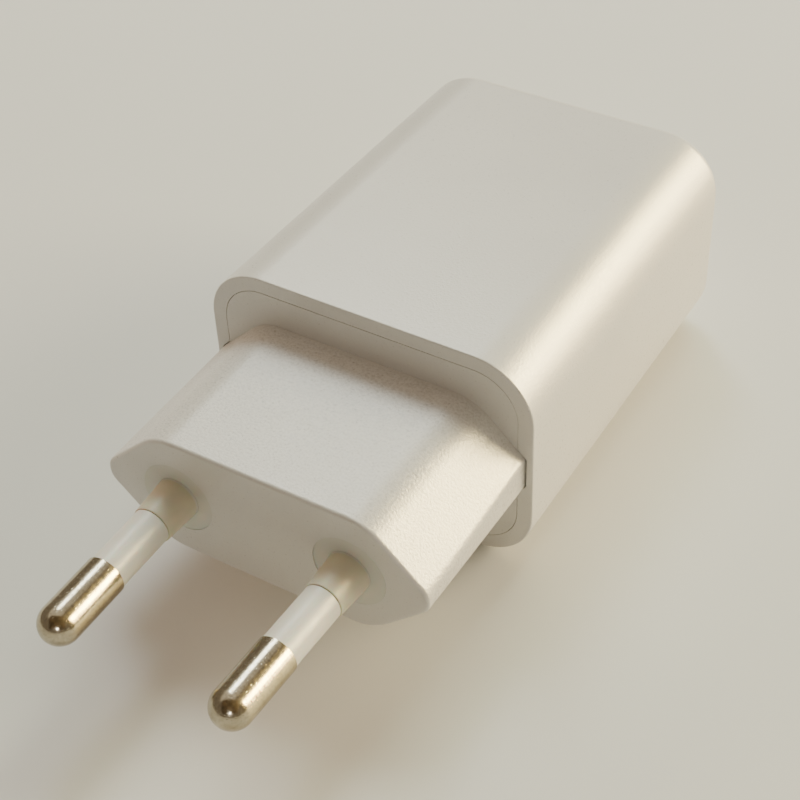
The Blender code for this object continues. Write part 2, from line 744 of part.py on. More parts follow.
def ring_around_y(name, outer, inner, length, finish):
    """A rectangular tube about the transformer's Y axis; outer and inner are (width, height)."""
    outer_x, outer_z = outer[0] / 2, outer[1] / 2
    inner_x, inner_z = inner[0] / 2, inner[1] / 2
    centre = (0, TRANSFORMER_Y, TRANSFORMER_Z)
    radius = min(outer_x - inner_x, outer_z - inner_z)
    outline = rounded_rectangle(2 * outer_x, 2 * outer_z, radius, 4)
    ring = add_part(name, loft([(-length / 2, outline), (length / 2, outline)]), finish, centre)
    bore = block((-inner_x, -length, -inner_z), (inner_x, length, inner_z))
    cut(ring, add_tool(name + "_inside", bore, centre))
    return ring


def make_bobbin():
    tube = (CORE_MIDDLE_LEG + 0.6 * MM, CORE_THICKNESS + 0.6 * MM)
    bore = (CORE_MIDDLE_LEG + 0.1 * MM, CORE_THICKNESS + 0.1 * MM)
    length = 2 * CORE_WINDOW_DEPTH - 0.2 * MM
    flange_thickness, flange_half_height = 0.8 * MM, 5.7 * MM
    flange_half_width = CORE_WINDOW_WIDTH / 2 - 0.1 * MM
    centre = (0, TRANSFORMER_Y, TRANSFORMER_Z)
    bm = block((-tube[0] / 2, -length / 2, -tube[1] / 2), (tube[0] / 2, length / 2, tube[1] / 2))
    bobbin = add_part("transformer_bobbin", bm, "bobbin_plastic", centre)
    rail_half_width = CORE_WIDTH / 2
    rail_top = BOARD_TOP + 2.4 * MM - TRANSFORMER_Z
    rail_bottom = BOARD_TOP + STAND_OFF - TRANSFORMER_Z
    pin_places = []
    for name, sign in (("front", -1), ("rear", 1)):
        near, far = sorted((sign * length / 2, sign * (length / 2 - flange_thickness)))
        flange = block(
            (-flange_half_width, near, -flange_half_height),
            (flange_half_width, far, flange_half_height),
        )
        join(bobbin, add_tool(f"bobbin_flange_{name}", flange, centre))
        near, far = sorted((sign * 7.2 * MM, sign * (length / 2 - 0.4 * MM)))
        rail = block((-rail_half_width, near, rail_bottom), (rail_half_width, far, rail_top))
        join(bobbin, add_tool(f"bobbin_rail_{name}", rail, centre))
        pin_y = TRANSFORMER_Y + sign * 6.2 * MM
        pin_places += [(x * MM, pin_y) for x in (-5.0, -1.7, 1.7, 5.0)]
    join(bobbin, leads_tool("bobbin_pins", pin_places, BOARD_TOP + 1.5 * MM))
    half = (bore[0] / 2, length, bore[1] / 2)
    through = block((-half[0], -half[1], -half[2]), half)
    cut(bobbin, add_tool("bobbin_bore", through, centre))


def make_windings():
    length = 2 * CORE_WINDOW_DEPTH - 0.2 * MM - 2 * 0.8 * MM - 0.2 * MM
    ring_around_y(
        "transformer_primary_winding",
        (6.6 * MM, 8.8 * MM),
        (CORE_MIDDLE_LEG + 0.7 * MM, CORE_THICKNESS + 0.7 * MM),
        length,
        "enamelled_copper",
    )
    ring_around_y(
        "transformer_secondary_winding",
        (9.2 * MM, 10.4 * MM),
        (6.8 * MM, 9.0 * MM),
        length,
        "winding_tape",
    )


def make_core_tape():
    """The band of tape that holds the two core halves together."""
    gap, thickness = 0.1 * MM, 0.15 * MM
    x, y = CORE_WIDTH / 2 + gap, CORE_LEG_LENGTH + 0.05 * MM + gap
    corners = [(x, -y), (x, y), (-x, y), (-x, -y)]
    bm = bmesh.new()
    low = [bm.verts.new((*corner, -1.9 * MM)) for corner in corners]
    edges = [bm.edges.new((low[index - 1], low[index])) for index in range(4)]
    made = bmesh.ops.extrude_edge_only(bm, edges=edges)
    moved = [item for item in made["geom"] if isinstance(item, bmesh.types.BMVert)]
    bmesh.ops.translate(bm, verts=moved, vec=(0, 0, 3.8 * MM))
    centre = (0, TRANSFORMER_Y, TRANSFORMER_Z)
    tape = add_part("transformer_core_tape", bm, "winding_tape", centre)
    solidify = tape.modifiers.new("Solidify", "SOLIDIFY")
    solidify.thickness = thickness
    solidify.offset = 1.0
    solidify.use_even_offset = True


# ------------------------------------------------------------ board components


def make_capacitor(name, x, y, radius, height, lead_spacing):
    """A can capacitor: rolled-in groove near its foot, and an eased top edge."""
    foot = BOARD_TOP + STAND_OFF
    ease, groove = 0.4 * MM, 0.35 * MM
    profile = [
        (0.0, height),
        (radius - ease, height),
        (radius, height - ease),
        (radius, 2.2 * MM),
        (radius - groove, 1.8 * MM),
        (radius, 1.4 * MM),
        (radius, 0.3 * MM),
        (radius - 0.3 * MM, 0.0),
        (0.0, 0.0),
    ]
    can = turned_part(name, profile, "capacitor_sleeve", (x, y, foot))
    places = [(x, y - lead_spacing / 2), (x, y + lead_spacing / 2)]
    join(can, leads_tool(name + "_leads", places, foot + MM))


def make_fuse_resistor():
    y, z = 2.6 * MM, BOARD_TOP + 1.9 * MM
    half_length, radius, lead_x = 3.8 * MM, 1.4 * MM, 5.4 * MM
    waist = 0.15 * MM
    profile = [
        (0.0, half_length),
        (radius - 0.4 * MM, half_length),
        (radius, half_length - 0.5 * MM),
        (radius, half_length - 1.4 * MM),
        (radius - waist, half_length - 1.8 * MM),
        (radius - waist, 1.8 * MM - half_length),
        (radius, 1.4 * MM - half_length),
        (radius, 0.5 * MM - half_length),
        (radius - 0.4 * MM, -half_length),
        (0.0, -half_length),
    ]
    body = turned_part("fuse_resistor", profile, "resistor_coating", (0, y, z), steps=16)
    body.rotation_euler = (0, math.pi / 2, 0)
    bottom = BOARD_TOP - BOARD_THICKNESS - LEAD_STICK_OUT
    path = [(-lead_x, y, bottom), (-lead_x, y, z), (lead_x, y, z), (lead_x, y, bottom)]
    join(body, wire_tool("fuse_resistor_lead", path, LEAD_RADIUS))
    lead_holes.extend([(-lead_x, y), (lead_x, y)])


def make_filter_inductor():
    """A drum core with its winding."""
    x, y, foot = -10.8 * MM, 17.4 * MM, BOARD_TOP + STAND_OFF
    flange, waist, height = 2.6 * MM, 1.2 * MM, 7.0 * MM
    profile = [
        (0.0, height),
        (flange, height),
        (flange, height - MM),
        (waist, height - MM),
        (waist, MM),
        (flange, MM),
        (flange, 0.0),
        (0.0, 0.0),
    ]
    core = turned_part("filter_inductor_core", profile, "ferrite", (x, y, foot))
    places = [(x, y - 1.8 * MM), (x, y + 1.8 * MM)]
    join(core, leads_tool("filter_inductor_leads", places, foot + 0.5 * MM))
    gap, outside = 0.1 * MM, 2.3 * MM
    coil = [
        (waist + gap, height - MM - gap),
        (outside, height - MM - gap),
        (outside, MM + gap),
        (waist + gap, MM + gap),
        (waist + gap, height - MM - gap),
    ]
    turned_part("filter_inductor_winding", coil, "enamelled_copper", (x, y, foot))


def make_y_capacitor():
    """The blue disc capacitor that bridges the mains side and the low-voltage side."""
    x, y, radius, half_thickness = 10.8 * MM, 17.4 * MM, 3.4 * MM, 1.5 * MM
    z = BOARD_TOP + radius + 1.2 * MM
    profile = [
        (0.0, half_thickness),
        (radius - 0.9 * MM, half_thickness),
        (radius - 0.2 * MM, half_thickness / 2),
        (radius, 0.0),
        (radius - 0.2 * MM, -half_thickness / 2),
        (radius - 0.9 * MM, -half_thickness),
        (0.0, -half_thickness),
    ]
    disc = turned_part("y_capacitor", profile, "ceramic_blue", (x, y, z))
    disc.rotation_euler = (0, math.pi / 2, 0)
    places = [(x, y - 2.5 * MM), (x, y + 2.5 * MM)]
    join(disc, leads_tool("y_capacitor_leads", places, z))


def make_surface_part(name, centre, size, legs_per_side, leg_width, pitch):
    """A flat package under the board, with legs on its two sides in X, soldered to the board."""
    x, y = centre
    width, length, height = size
    top = BOARD_TOP - BOARD_THICKNESS - STAND_OFF
    package = block(
        (x - width / 2, y - length / 2, top - height),
        (x + width / 2, y + length / 2, top),
        rounding=0.15 * MM,
        segments=1,
    )
    body = add_part(name, package, "epoxy_black")
    reach, thickness = 0.9 * MM, 0.25 * MM
    legs = bmesh.new()
    for sign in (-1, 1):
        for index in range(legs_per_side):
            leg_y = y + (index - (legs_per_side - 1) / 2) * pitch
            near, far = sorted((x + sign * (width / 2 - 0.4 * MM), x + sign * (width / 2 + reach)))
            add_block(
                legs,
                (near, leg_y - leg_width / 2, top - 0.3 * MM - thickness),
                (far, leg_y + leg_width / 2, top - 0.3 * MM),
            )
    join(body, add_tool(name + "_legs", legs))


def make_insulation_barrier():
    """An upright sheet between the mains side and the low-voltage side."""
    y, half_thickness = 22.2 * MM, 0.2 * MM
    sheet = block(
        (-13.0 * MM, y - half_thickness, BOARD_TOP + STAND_OFF),
        (13.0 * MM, y + half_thickness, 20.4 * MM),
    )
    add_part("insulation_barrier", sheet, "fish_paper")


def make_board():
    """The board, drilled for every lead that the other parts put through it."""
    start, end = Y_RIM + PLATE_THICKNESS + 0.5 * MM, Y_END_WALL - 0.6 * MM
    low, high = BOARD_TOP - BOARD_THICKNESS, BOARD_TOP
    board = add_part(
        "main_board",
        block((-BOARD_WIDTH / 2, start, low), (BOARD_WIDTH / 2, end, high)),
        "board",
    )
    holes = bmesh.new()
    for place in lead_holes:
        add_rod(holes, place, LEAD_HOLE_RADIUS, low - MM, high + MM)
    leg_x = PORT_WIDTH / 2 + SHIELD_WALL / 2
    leg_y = Y_SHIELD_BACK + 5.5 * MM
    for sign in (-1, 1):
        x = sign * leg_x
        add_block(
            holes,
            (x - 0.35 * MM, leg_y - 1.2 * MM, low - MM),
            (x + 0.35 * MM, leg_y + 1.2 * MM, high + MM),
        )
    isolation_slot = (TRANSFORMER_Y - 0.6 * MM, TRANSFORMER_Y + 0.6 * MM)
    add_block(
        holes,
        (-6.0 * MM, isolation_slot[0], low - MM),
        (6.0 * MM, isolation_slot[1], high + MM),
    )
    cut(board, add_tool("board_holes", holes))


# -------------------------------------------------------------------- assembly

make_outer_shell()
make_plug_cap()
for side, sign in (("left", -1), ("right", 1)):
    make_pin(side, sign)
    make_pin_contact(side, sign)
make_usb_shield()
make_usb_tongue()
for number, offset in enumerate(CONTACT_OFFSETS, start=1):
    make_usb_contact(number, offset)
make_cores()
make_bobbin()
make_windings()
make_core_tape()
make_capacitor("bulk_capacitor_1", -10.8 * MM, 9.0 * MM, 4.0 * MM, 11.4 * MM, 3.5 * MM)
make_capacitor("bulk_capacitor_2", 10.8 * MM, 9.0 * MM, 4.0 * MM, 11.4 * MM, 3.5 * MM)
make_capacitor("output_capacitor_1", -11.0 * MM, 27.0 * MM, 3.15 * MM, 11.0 * MM, 2.5 * MM)
make_capacitor("output_capacitor_2", 11.0 * MM, 27.0 * MM, 3.15 * MM, 11.0 * MM, 2.5 * MM)
make_fuse_resistor()
make_filter_inductor()
make_y_capacitor()
make_surface_part(
    "bridge_rectifier", (0, 9.95 * MM), (3.9 * MM, 4.8 * MM, 2.4 * MM), 2, 0.7 * MM, 2.5 * MM
)
make_surface_part(
    "controller_ic", (0, 16.2 * MM), (3.9 * MM, 4.9 * MM, 1.5 * MM), 4, 0.4 * MM, 1.27 * MM
)
make_surface_part(
    "output_rectifier", (0, 32.0 * MM), (6.9 * MM, 5.9 * MM, 2.2 * MM), 1, 3.0 * MM, 0.0
)
make_insulation_barrier()
make_board()
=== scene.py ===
"""The looks of a USB wall charger with a two-pin mains plug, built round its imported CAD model.

Lengths are in metres, in the CAD model's frame: X runs across the charger's width, its pins
point to -Y, its USB port opens to +Y and +Z is up.
"""

import json
import math

import bmesh
import bpy
from mathutils import Matrix, Vector


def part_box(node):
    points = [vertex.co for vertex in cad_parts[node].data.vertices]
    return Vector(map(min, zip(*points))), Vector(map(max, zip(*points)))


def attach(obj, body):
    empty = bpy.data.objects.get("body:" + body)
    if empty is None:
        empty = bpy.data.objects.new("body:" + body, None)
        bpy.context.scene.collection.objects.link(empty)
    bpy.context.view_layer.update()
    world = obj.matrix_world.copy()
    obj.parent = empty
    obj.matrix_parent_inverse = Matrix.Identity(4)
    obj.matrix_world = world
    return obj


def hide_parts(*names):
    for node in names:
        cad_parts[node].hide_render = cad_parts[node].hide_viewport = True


MM = 0.001

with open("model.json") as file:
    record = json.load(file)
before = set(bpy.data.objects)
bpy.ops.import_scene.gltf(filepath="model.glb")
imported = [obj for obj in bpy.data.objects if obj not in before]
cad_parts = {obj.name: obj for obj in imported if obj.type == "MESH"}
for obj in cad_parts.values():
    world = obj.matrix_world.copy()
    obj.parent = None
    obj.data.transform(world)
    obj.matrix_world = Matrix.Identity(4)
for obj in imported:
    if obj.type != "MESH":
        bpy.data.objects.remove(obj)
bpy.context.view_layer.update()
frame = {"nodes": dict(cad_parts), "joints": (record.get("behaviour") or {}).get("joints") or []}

SHELL_LOW, SHELL_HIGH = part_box("outer_shell")
Y_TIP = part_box("pin_left")[0].y
Y_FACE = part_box("plug_cap")[0].y
Y_RIM, Y_END = SHELL_LOW.y, SHELL_HIGH.y
Z_MID = (SHELL_LOW.z + SHELL_HIGH.z) / 2

# Case
SHELL_WIDTH = SHELL_HIGH.x - SHELL_LOW.x
SHELL_HEIGHT = SHELL_HIGH.z - SHELL_LOW.z
SHELL_LENGTH = Y_END - Y_RIM
SHELL_CORNER = 6.3 * MM
SHELL_END_ROUNDING = 1.9 * MM
SHELL_DRAFT = 0.3 * MM
SIDE_WALL = 1.6 * MM
END_WALL = 1.8 * MM
SEAM_GAP = 0.04 * MM
RIM_EDGE = 0.16 * MM
SEAM_EDGE = 0.05 * MM

# Plug block
PLUG_LENGTH = Y_RIM - Y_FACE
FACE_POINT, FACE_HALF_HEIGHT, FACE_FLAT = 18.35 * MM, 6.7 * MM, 11.3 * MM
ROOT_POINT, ROOT_HALF_HEIGHT, ROOT_FLAT = 18.75 * MM, 6.9 * MM, 11.75 * MM
FACE_TIP, FACE_TIP_RADIUS = 17.4 * MM, 2.0 * MM
ROOT_TIP, ROOT_TIP_RADIUS = 16.95 * MM, 0.5 * MM
PLUG_RIDGE_RADIUS = 5.4 * MM
PLUG_EDGE = 0.4 * MM
PLUG_WALL = 1.6 * MM
PLUG_FRONT_WALL = 2.4 * MM
PLATE_THICKNESS = 1.8 * MM
SKIRT_DEPTH = 3.2 * MM
SKIRT_WALL = 1.0 * MM

# Pins
PIN_LENGTH = Y_FACE - Y_TIP
PIN_SPACING_AT_FACE = 18.6 * MM
PIN_SPACING_AT_TIP = 17.9 * MM
PIN_RADIUS = 2.0 * MM
PIN_CORE_RADIUS = 1.5 * MM
PIN_METAL_LENGTH = 8.3 * MM
PIN_ROOT_LENGTH = 12.0 * MM
SLEEVE_RADIUS = 1.87 * MM
COLLAR_LENGTH = 4.0 * MM
COLLAR_FRONT_RADIUS = 1.97 * MM
COLLAR_BASE_RADIUS = 2.2 * MM
BUSH_RADIUS = 3.8 * MM
BUSH_GAP = 0.004 * MM
BUSH_EASE = 0.015 * MM
BUSH_FLANGE_RADIUS = 4.4 * MM
BUSH_FLANGE_THICKNESS = 1.0 * MM

# USB-A receptacle
PORT_WIDTH, PORT_HEIGHT, PORT_CORNER = 12.5 * MM, 5.12 * MM, 0.5 * MM
SHIELD_WALL = 0.3 * MM
FINGER_LENGTH, FINGER_WIDTH, FINGER_THICKNESS = 6.0 * MM, 2.2 * MM, 0.22 * MM
TONGUE_WIDTH, TONGUE_THICKNESS = 11.1 * MM, 1.84 * MM
TONGUE_LENGTH = 8.88 * MM
TONGUE_BACK_GAP = 0.92 * MM
CONTACT_OFFSETS = (-3.5 * MM, -1.0 * MM, 1.0 * MM, 3.5 * MM)
CONTACT_WIDTH, CONTACT_THICKNESS = 1.0 * MM, 0.2 * MM
CONTACT_SLOT_WIDTH = 1.3 * MM
STRIP_EDGE = 0.04 * MM

# Fineness of the meshes, and how far a cutter stands out of what it cuts
CORNER_STEPS = 20
TURN_STEPS = 96
PATH_STEPS = 8
SHARP_ANGLE = math.radians(32)
OVERCUT = 1.0 * MM


# -------------------------------------------------------------------- outlines


def rounded_outline(corners, radii, steps=CORNER_STEPS):
    """The closed outline through the corners, each rounded by an arc of its radius."""
    points = []
    for index, corner in enumerate(corners):
        here = Vector(corner)
        back = (Vector(corners[index - 1]) - here).normalized()
        ahead = (Vector(corners[(index + 1) % len(corners)]) - here).normalized()
        half_angle = back.angle(ahead) / 2
        radius = radii[index]
        centre = here + (back + ahead).normalized() * radius / math.sin(half_angle)
        start = here + back * radius / math.tan(half_angle) - centre
        end = here + ahead * radius / math.tan(half_angle) - centre
        first = math.atan2(start.y, start.x)
        sweep = math.remainder(math.atan2(end.y, end.x) - first, math.tau)
        for step in range(steps + 1):
            angle = first + sweep * step / steps
            points.append(centre + radius * Vector((math.cos(angle), math.sin(angle))))
    return points


def rounded_rectangle(width, height, radius, steps=CORNER_STEPS):
    x, z = width / 2, height / 2
    return rounded_outline([(x, -z), (x, z), (-x, z), (-x, -z)], [radius] * 4, steps)


def case_outline(along, inset=0.0):
    """The case's outline, along metres behind its rim: the sides and the top lean in."""
    lean = SHELL_DRAFT * along / SHELL_LENGTH
    half_width = SHELL_WIDTH / 2 - lean - inset
    top = SHELL_HEIGHT / 2 - lean - inset
    bottom = inset - SHELL_HEIGHT / 2
    corners = [(half_width, bottom), (half_width, top), (-half_width, top), (-half_width, bottom)]
    return rounded_outline(corners, [SHELL_CORNER - inset] * 4)


def plug_outline(point, half_height, flat, tip, tip_radius, ridge_radius=PLUG_RIDGE_RADIUS):
    """The flattened hexagon, its two side points cut off at tip."""
    tip_height = half_height * (point - tip) / (point - flat)
    right = [(tip, -tip_height), (tip, tip_height), (flat, half_height)]
    left = [(-flat, half_height), (-tip, tip_height), (-tip, -tip_height)]
    bottom = [(-flat, -half_height), (flat, -half_height)]
    radii = [tip_radius, tip_radius, ridge_radius, ridge_radius, tip_radius, tip_radius]
    return rounded_outline(right + left + bottom, radii + [ridge_radius, ridge_radius])


def shrink(outline, distance):
    """The outline, which runs anticlockwise, moved inwards by distance."""
    moved = []
    for index, point in enumerate(outline):
        back = (point - outline[index - 1]).normalized()
        ahead = (outline[(index + 1) % len(outline)] - point).normalized()
        tangent = (back + ahead).normalized()
        moved.append(point + distance * Vector((-tangent.y, tangent.x)))
    return moved


def between(first, second, share):
    """The outline that lies the given share of the way from first to second."""
    return [a.lerp(b, share) for a, b in zip(first, second)]


def quarter_arc(radius, steps):
    """Points (inset, depth) of a rounded edge, from the end face round to the side."""
    angles = [math.pi / 2 * step / steps for step in range(steps + 1)]
    return [(radius * (1 - math.sin(a)), radius * (1 - math.cos(a))) for a in angles]


# ---------------------------------------------------------------------- meshes


def add_object(name, bm):
    bmesh.ops.recalc_face_normals(bm, faces=bm.faces)
    mesh = bpy.data.meshes.new(name)
    bm.to_mesh(mesh)
    bm.free()
    obj = bpy.data.objects.new(name, mesh)
    bpy.context.scene.collection.objects.link(obj)
    return obj


def skin(bm, rings):
    """Faces from each ring of vertices to the next, and over the first and the last ring."""
    for ring, following in zip(rings, rings[1:]):
        for index in range(len(ring)):
            quad = (ring[index - 1], ring[index], following[index], following[index - 1])
            bm.faces.new(quad)
    bm.faces.new(rings[0])
    bm.faces.new(rings[-1])


def loft(sections):
    """A solid along Y through sections, each (y, outline in X and Z) with equally many points."""
    bm = bmesh.new()
    skin(bm, [[bm.verts.new((x, y, z)) for x, z in outline] for y, outline in sections])
    return bm


def block(low, high, rounding=0.0):
    """A cuboid between two opposite corners, with its edges rounded."""
    low, high = Vector(low), Vector(high)
    placed = Matrix.Translation((low + high) / 2) @ Matrix.Diagonal((*(high - low), 1.0))
    bm = bmesh.new()
    bmesh.ops.create_cube(bm, size=1.0, matrix=placed)
    if rounding:
        bmesh.ops.bevel(bm, geom=bm.edges[:], offset=rounding, segments=3, affect="EDGES", profile=0.5)
    return bm


def turn(profile, placed, closed=False):
    """A round solid about its own Z axis, from a profile of (radius, z), then placed.

    The profile starts and ends on the axis, or else it is closed.
    """
    bm = bmesh.new()
    angles = [math.tau * step / TURN_STEPS for step in range(TURN_STEPS)]
    rings = []
    for radius, z in profile:
        if radius == 0:
            rings.append([bm.verts.new((0, 0, z))] * TURN_STEPS)
            continue
        rings.append([bm.verts.new((radius * math.cos(a), radius * math.sin(a), z)) for a in angles])
    pairs = list(zip(rings, rings[1:]))
    if closed:
        pairs.append((rings[-1], rings[0]))
    for ring, following in pairs:
        for index in range(TURN_STEPS):
            corners = (ring[index - 1], ring[index], following[index], following[index - 1])
            distinct = list(dict.fromkeys(corners))
            if len(distinct) > 2:
                bm.faces.new(distinct)
    bm.transform(placed)
    return bm


def side_profile(points, half_width):
    """A solid from a closed outline in Y and Z, as wide in X as twice half_width."""
    bm = bmesh.new()
    face = bm.faces.new([bm.verts.new((-half_width, y, z)) for y, z in points])
    made = bmesh.ops.extrude_face_region(bm, geom=[face])
    moved = [item for item in made["geom"] if isinstance(item, bmesh.types.BMVert)]
    bmesh.ops.translate(bm, verts=moved, vec=(2 * half_width, 0, 0))
    return bm


def smooth_path(points):
    """A smooth line through points in a plane, as a Catmull-Rom spline."""
    knots = [Vector(p) for p in points]
    knots = [2 * knots[0] - knots[1]] + knots + [2 * knots[-1] - knots[-2]]
    path = []
    for a, b, c, d in zip(knots, knots[1:], knots[2:], knots[3:]):
        for step in range(PATH_STEPS):
            t = step / PATH_STEPS
            path.append(
                0.5 * (2 * b + (c - a) * t + (2 * a - 5 * b + 4 * c - d) * t**2)
                + 0.5 * (3 * b - a - 3 * c + d) * t**3
            )
    return path + [knots[-2]]


def strip(path, width, thickness):
    """A strip of sheet metal along a path in Y and Z, its long edges eased."""
    half_width, half_thickness = width / 2, thickness / 2
    section = [
        (-half_width, STRIP_EDGE - half_thickness),
        (STRIP_EDGE - half_width, -half_thickness),
        (half_width - STRIP_EDGE, -half_thickness),
        (half_width, STRIP_EDGE - half_thickness),
        (half_width, half_thickness - STRIP_EDGE),
        (half_width - STRIP_EDGE, half_thickness),
        (STRIP_EDGE - half_width, half_thickness),
        (-half_width, half_thickness - STRIP_EDGE),
    ]
    bm = bmesh.new()
    rings = []
    for index, point in enumerate(path):
        ahead = path[min(index + 1, len(path) - 1)] - path[max(index - 1, 0)]
        normal = Vector((-ahead.y, ahead.x)).normalized()
        ring = [(x, point.x + h * normal.x, point.y + h * normal.y) for x, h in section]
        rings.append([bm.verts.new(position) for position in ring])
    skin(bm, rings)
    return bm


def boolean(target, bm, operation):
    """Cuts or joins a helper solid, which is used up."""
    tool = add_object("tool", bm)
    modifier = target.modifiers.new("Boolean", "BOOLEAN")
    modifier.operation = operation
    modifier.solver = "EXACT"
    modifier.object = tool
    bake(target)
    bpy.data.objects.remove(tool)


def cut(target, bm):
    boolean(target, bm, "DIFFERENCE")


def join(target, bm):
    boolean(target, bm, "UNION")


def bake(obj):
    """Replaces an object's mesh by what its modifiers make of it."""
    graph = bpy.context.evaluated_depsgraph_get()
    mesh = bpy.data.meshes.new_from_object(obj.evaluated_get(graph))
    obj.modifiers.clear()
    obj.data = mesh


def finish_piece(obj, body, nodes, look):
    """Smooth shading with even normals, and the piece's body, nodes, slot and material."""
    obj.data.shade_smooth()
    obj.data.set_sharp_from_angle(angle=SHARP_ANGLE)
    weighted = obj.modifiers.new("Normals", "WEIGHTED_NORMAL")
    weighted.keep_sharp = True
    bake(obj)
    obj.data.materials.clear()
    obj.data.materials.append(look)
    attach(obj, body)
    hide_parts(*nodes)


# ------------------------------------------------------------------- materials


class Look:
    """A procedural material: a Principled shader and the nodes that feed it."""

    def __init__(self, name, roughness=0.5, metallic=0.0, **constants):
        self.material = bpy.data.materials.new(name)
        self.material.use_nodes = True
        self.tree = self.material.node_tree
        self.shader = self.tree.nodes["Principled BSDF"]
        self.shader.inputs["Roughness"].default_value = roughness
        self.shader.inputs["Metallic"].default_value = metallic
        for socket, value in constants.items():
            self.shader.inputs[socket.replace("_", " ")].default_value = value
        self.place = self.node("ShaderNodeTexCoord").outputs["Object"]

    def node(self, kind, **settings):
        made = self.tree.nodes.new(kind)
        for key, value in settings.items():
            setattr(made, key, value)
        return made

    def link(self, source, target):
        self.tree.links.new(source, target)

    def stretched(self, scale):
        """The place, scaled differently along X, Y and Z."""
        mapping = self.node("ShaderNodeMapping")
        mapping.inputs["Scale"].default_value = scale
        self.link(self.place, mapping.inputs["Vector"])
        return mapping.outputs["Vector"]

    def noise(self, size, detail=2.0, roughness=0.5, stretch=None):
        """Noise whose features are about size metres across."""
        noise = self.node("ShaderNodeTexNoise")
        noise.inputs["Scale"].default_value = 1 / size
        noise.inputs["Detail"].default_value = detail
        noise.inputs["Roughness"].default_value = roughness
        self.link(self.stretched(stretch) if stretch else self.place, noise.inputs["Vector"])
        return noise.outputs["Fac"]

    def cells(self, size, feature="F1"):
        """The distance to the nearest of scattered points, size metres apart."""
        cells = self.node("ShaderNodeTexVoronoi", feature=feature)
        cells.inputs["Scale"].default_value = 1 / size
        self.link(self.place, cells.inputs["Vector"])
        return cells.outputs["Distance"]

    def waves(self, size, axis, distortion=0.0):
        """Bands across an axis, size metres apart."""
        waves = self.node("ShaderNodeTexWave", wave_type="BANDS", bands_direction=axis)
        phase_per_metre = 20
        waves.inputs["Scale"].default_value = math.tau / phase_per_metre / size
        waves.inputs["Distortion"].default_value = distortion
        self.link(self.place, waves.inputs["Vector"])
        return waves.outputs["Fac"]

    def ramp(self, value, stops):
        """A number or a colour read off a value, through (position, number or colour) stops."""
        ramp = self.node("ShaderNodeValToRGB")
        elements = ramp.color_ramp.elements
        while len(elements) < len(stops):
            elements.new(0.5)
        for element, (position, stop) in zip(elements, stops):
            element.position = position
            colour = (stop, stop, stop) if isinstance(stop, float) else stop
            element.color = (*colour, 1.0)
        self.link(value, ramp.inputs["Fac"])
        return ramp.outputs["Color"]

    def beyond(self, start, end):
        """0 to 1 along the charger, between two positions in Y."""
        position = self.node("ShaderNodeSeparateXYZ")
        self.link(self.place, position.inputs["Vector"])
        ramp = self.node("ShaderNodeMapRange")
        ramp.inputs["From Min"].default_value = start
        ramp.inputs["From Max"].default_value = end
        self.link(position.outputs["Y"], ramp.inputs["Value"])
        return ramp.outputs["Result"]

    def mix(self, first, second, share, blend="MIX"):
        """The given share of the way from first to second, each a socket, a number or a colour."""
        mix = self.node("ShaderNodeMix", data_type="RGBA", blend_type=blend)
        for socket, value in ((mix.inputs[0], share), (mix.inputs[6], first), (mix.inputs[7], second)):
            if isinstance(value, bpy.types.NodeSocket):
                self.link(value, socket)
            else:
                socket.default_value = value if isinstance(value, float) else (*value, 1.0)
        return mix.outputs[2]

    def colour(self, value):
        self.link(value, self.shader.inputs["Base Color"])

    def roughness(self, value):
        self.link(value, self.shader.inputs["Roughness"])

    def bump(self, height, depth):
        """Relief depth metres deep.  A later call adds to the relief of an earlier one."""
        bump = self.node("ShaderNodeBump")
        bump.inputs["Distance"].default_value = depth
        self.link(height, bump.inputs["Height"])
        normal = self.shader.inputs["Normal"]
        if normal.is_linked:
            self.link(normal.links[0].from_socket, bump.inputs["Normal"])
        self.link(bump.outputs["Normal"], normal)


def case_look(name, relief):
    """Off-white polycarbonate from a spark-eroded mould: an even satin grain.

    Its specks are dark only along the plug block, between its front face and the case's rim.
    """
    look = Look(name, roughness=0.34, IOR=1.59, Specular_IOR_Level=0.85)
    clouds = look.noise(9 * MM, detail=3.0)
    grain = look.noise(0.26 * MM, detail=3.0, roughness=0.65)
    tone = look.ramp(clouds, [(0.3, (0.712, 0.699, 0.681)), (0.7, (0.736, 0.723, 0.705))])
    specks = look.ramp(grain, [(0.36, 0.80), (0.60, 1.0)])
    smooth = look.ramp(grain, [(0.3, 0.95), (0.7, 0.97)])
    specks = look.mix(specks, smooth, look.beyond(Y_FACE + 0.7 * MM, Y_FACE + 0.1 * MM))
    specks = look.mix(specks, smooth, look.beyond(Y_RIM - 0.5 * MM, Y_RIM - 0.1 * MM))
    look.colour(look.mix(tone, specks, 1.0, "MULTIPLY"))
    look.roughness(look.ramp(grain, [(0.3, 0.26), (0.7, 0.40)]))
    look.bump(grain, relief)
    return look.material


def sleeve_look():
    """White smooth insulating sleeve."""
    look = Look("white_sleeve", roughness=0.34, Subsurface_Weight=0.25, Subsurface_Scale=0.6 * MM)
    tone = look.noise(2.5 * MM, detail=3.0)
    look.colour(look.ramp(tone, [(0.3, (0.755, 0.745, 0.70)), (0.7, (0.79, 0.78, 0.735))]))
    scuffs = look.noise(0.35 * MM, detail=3.0, stretch=(1.0, 0.35, 1.0))
    look.roughness(look.ramp(scuffs, [(0.3, 0.30), (0.7, 0.44)]))
    look.bump(scuffs, 0.004 * MM)
    return look.material


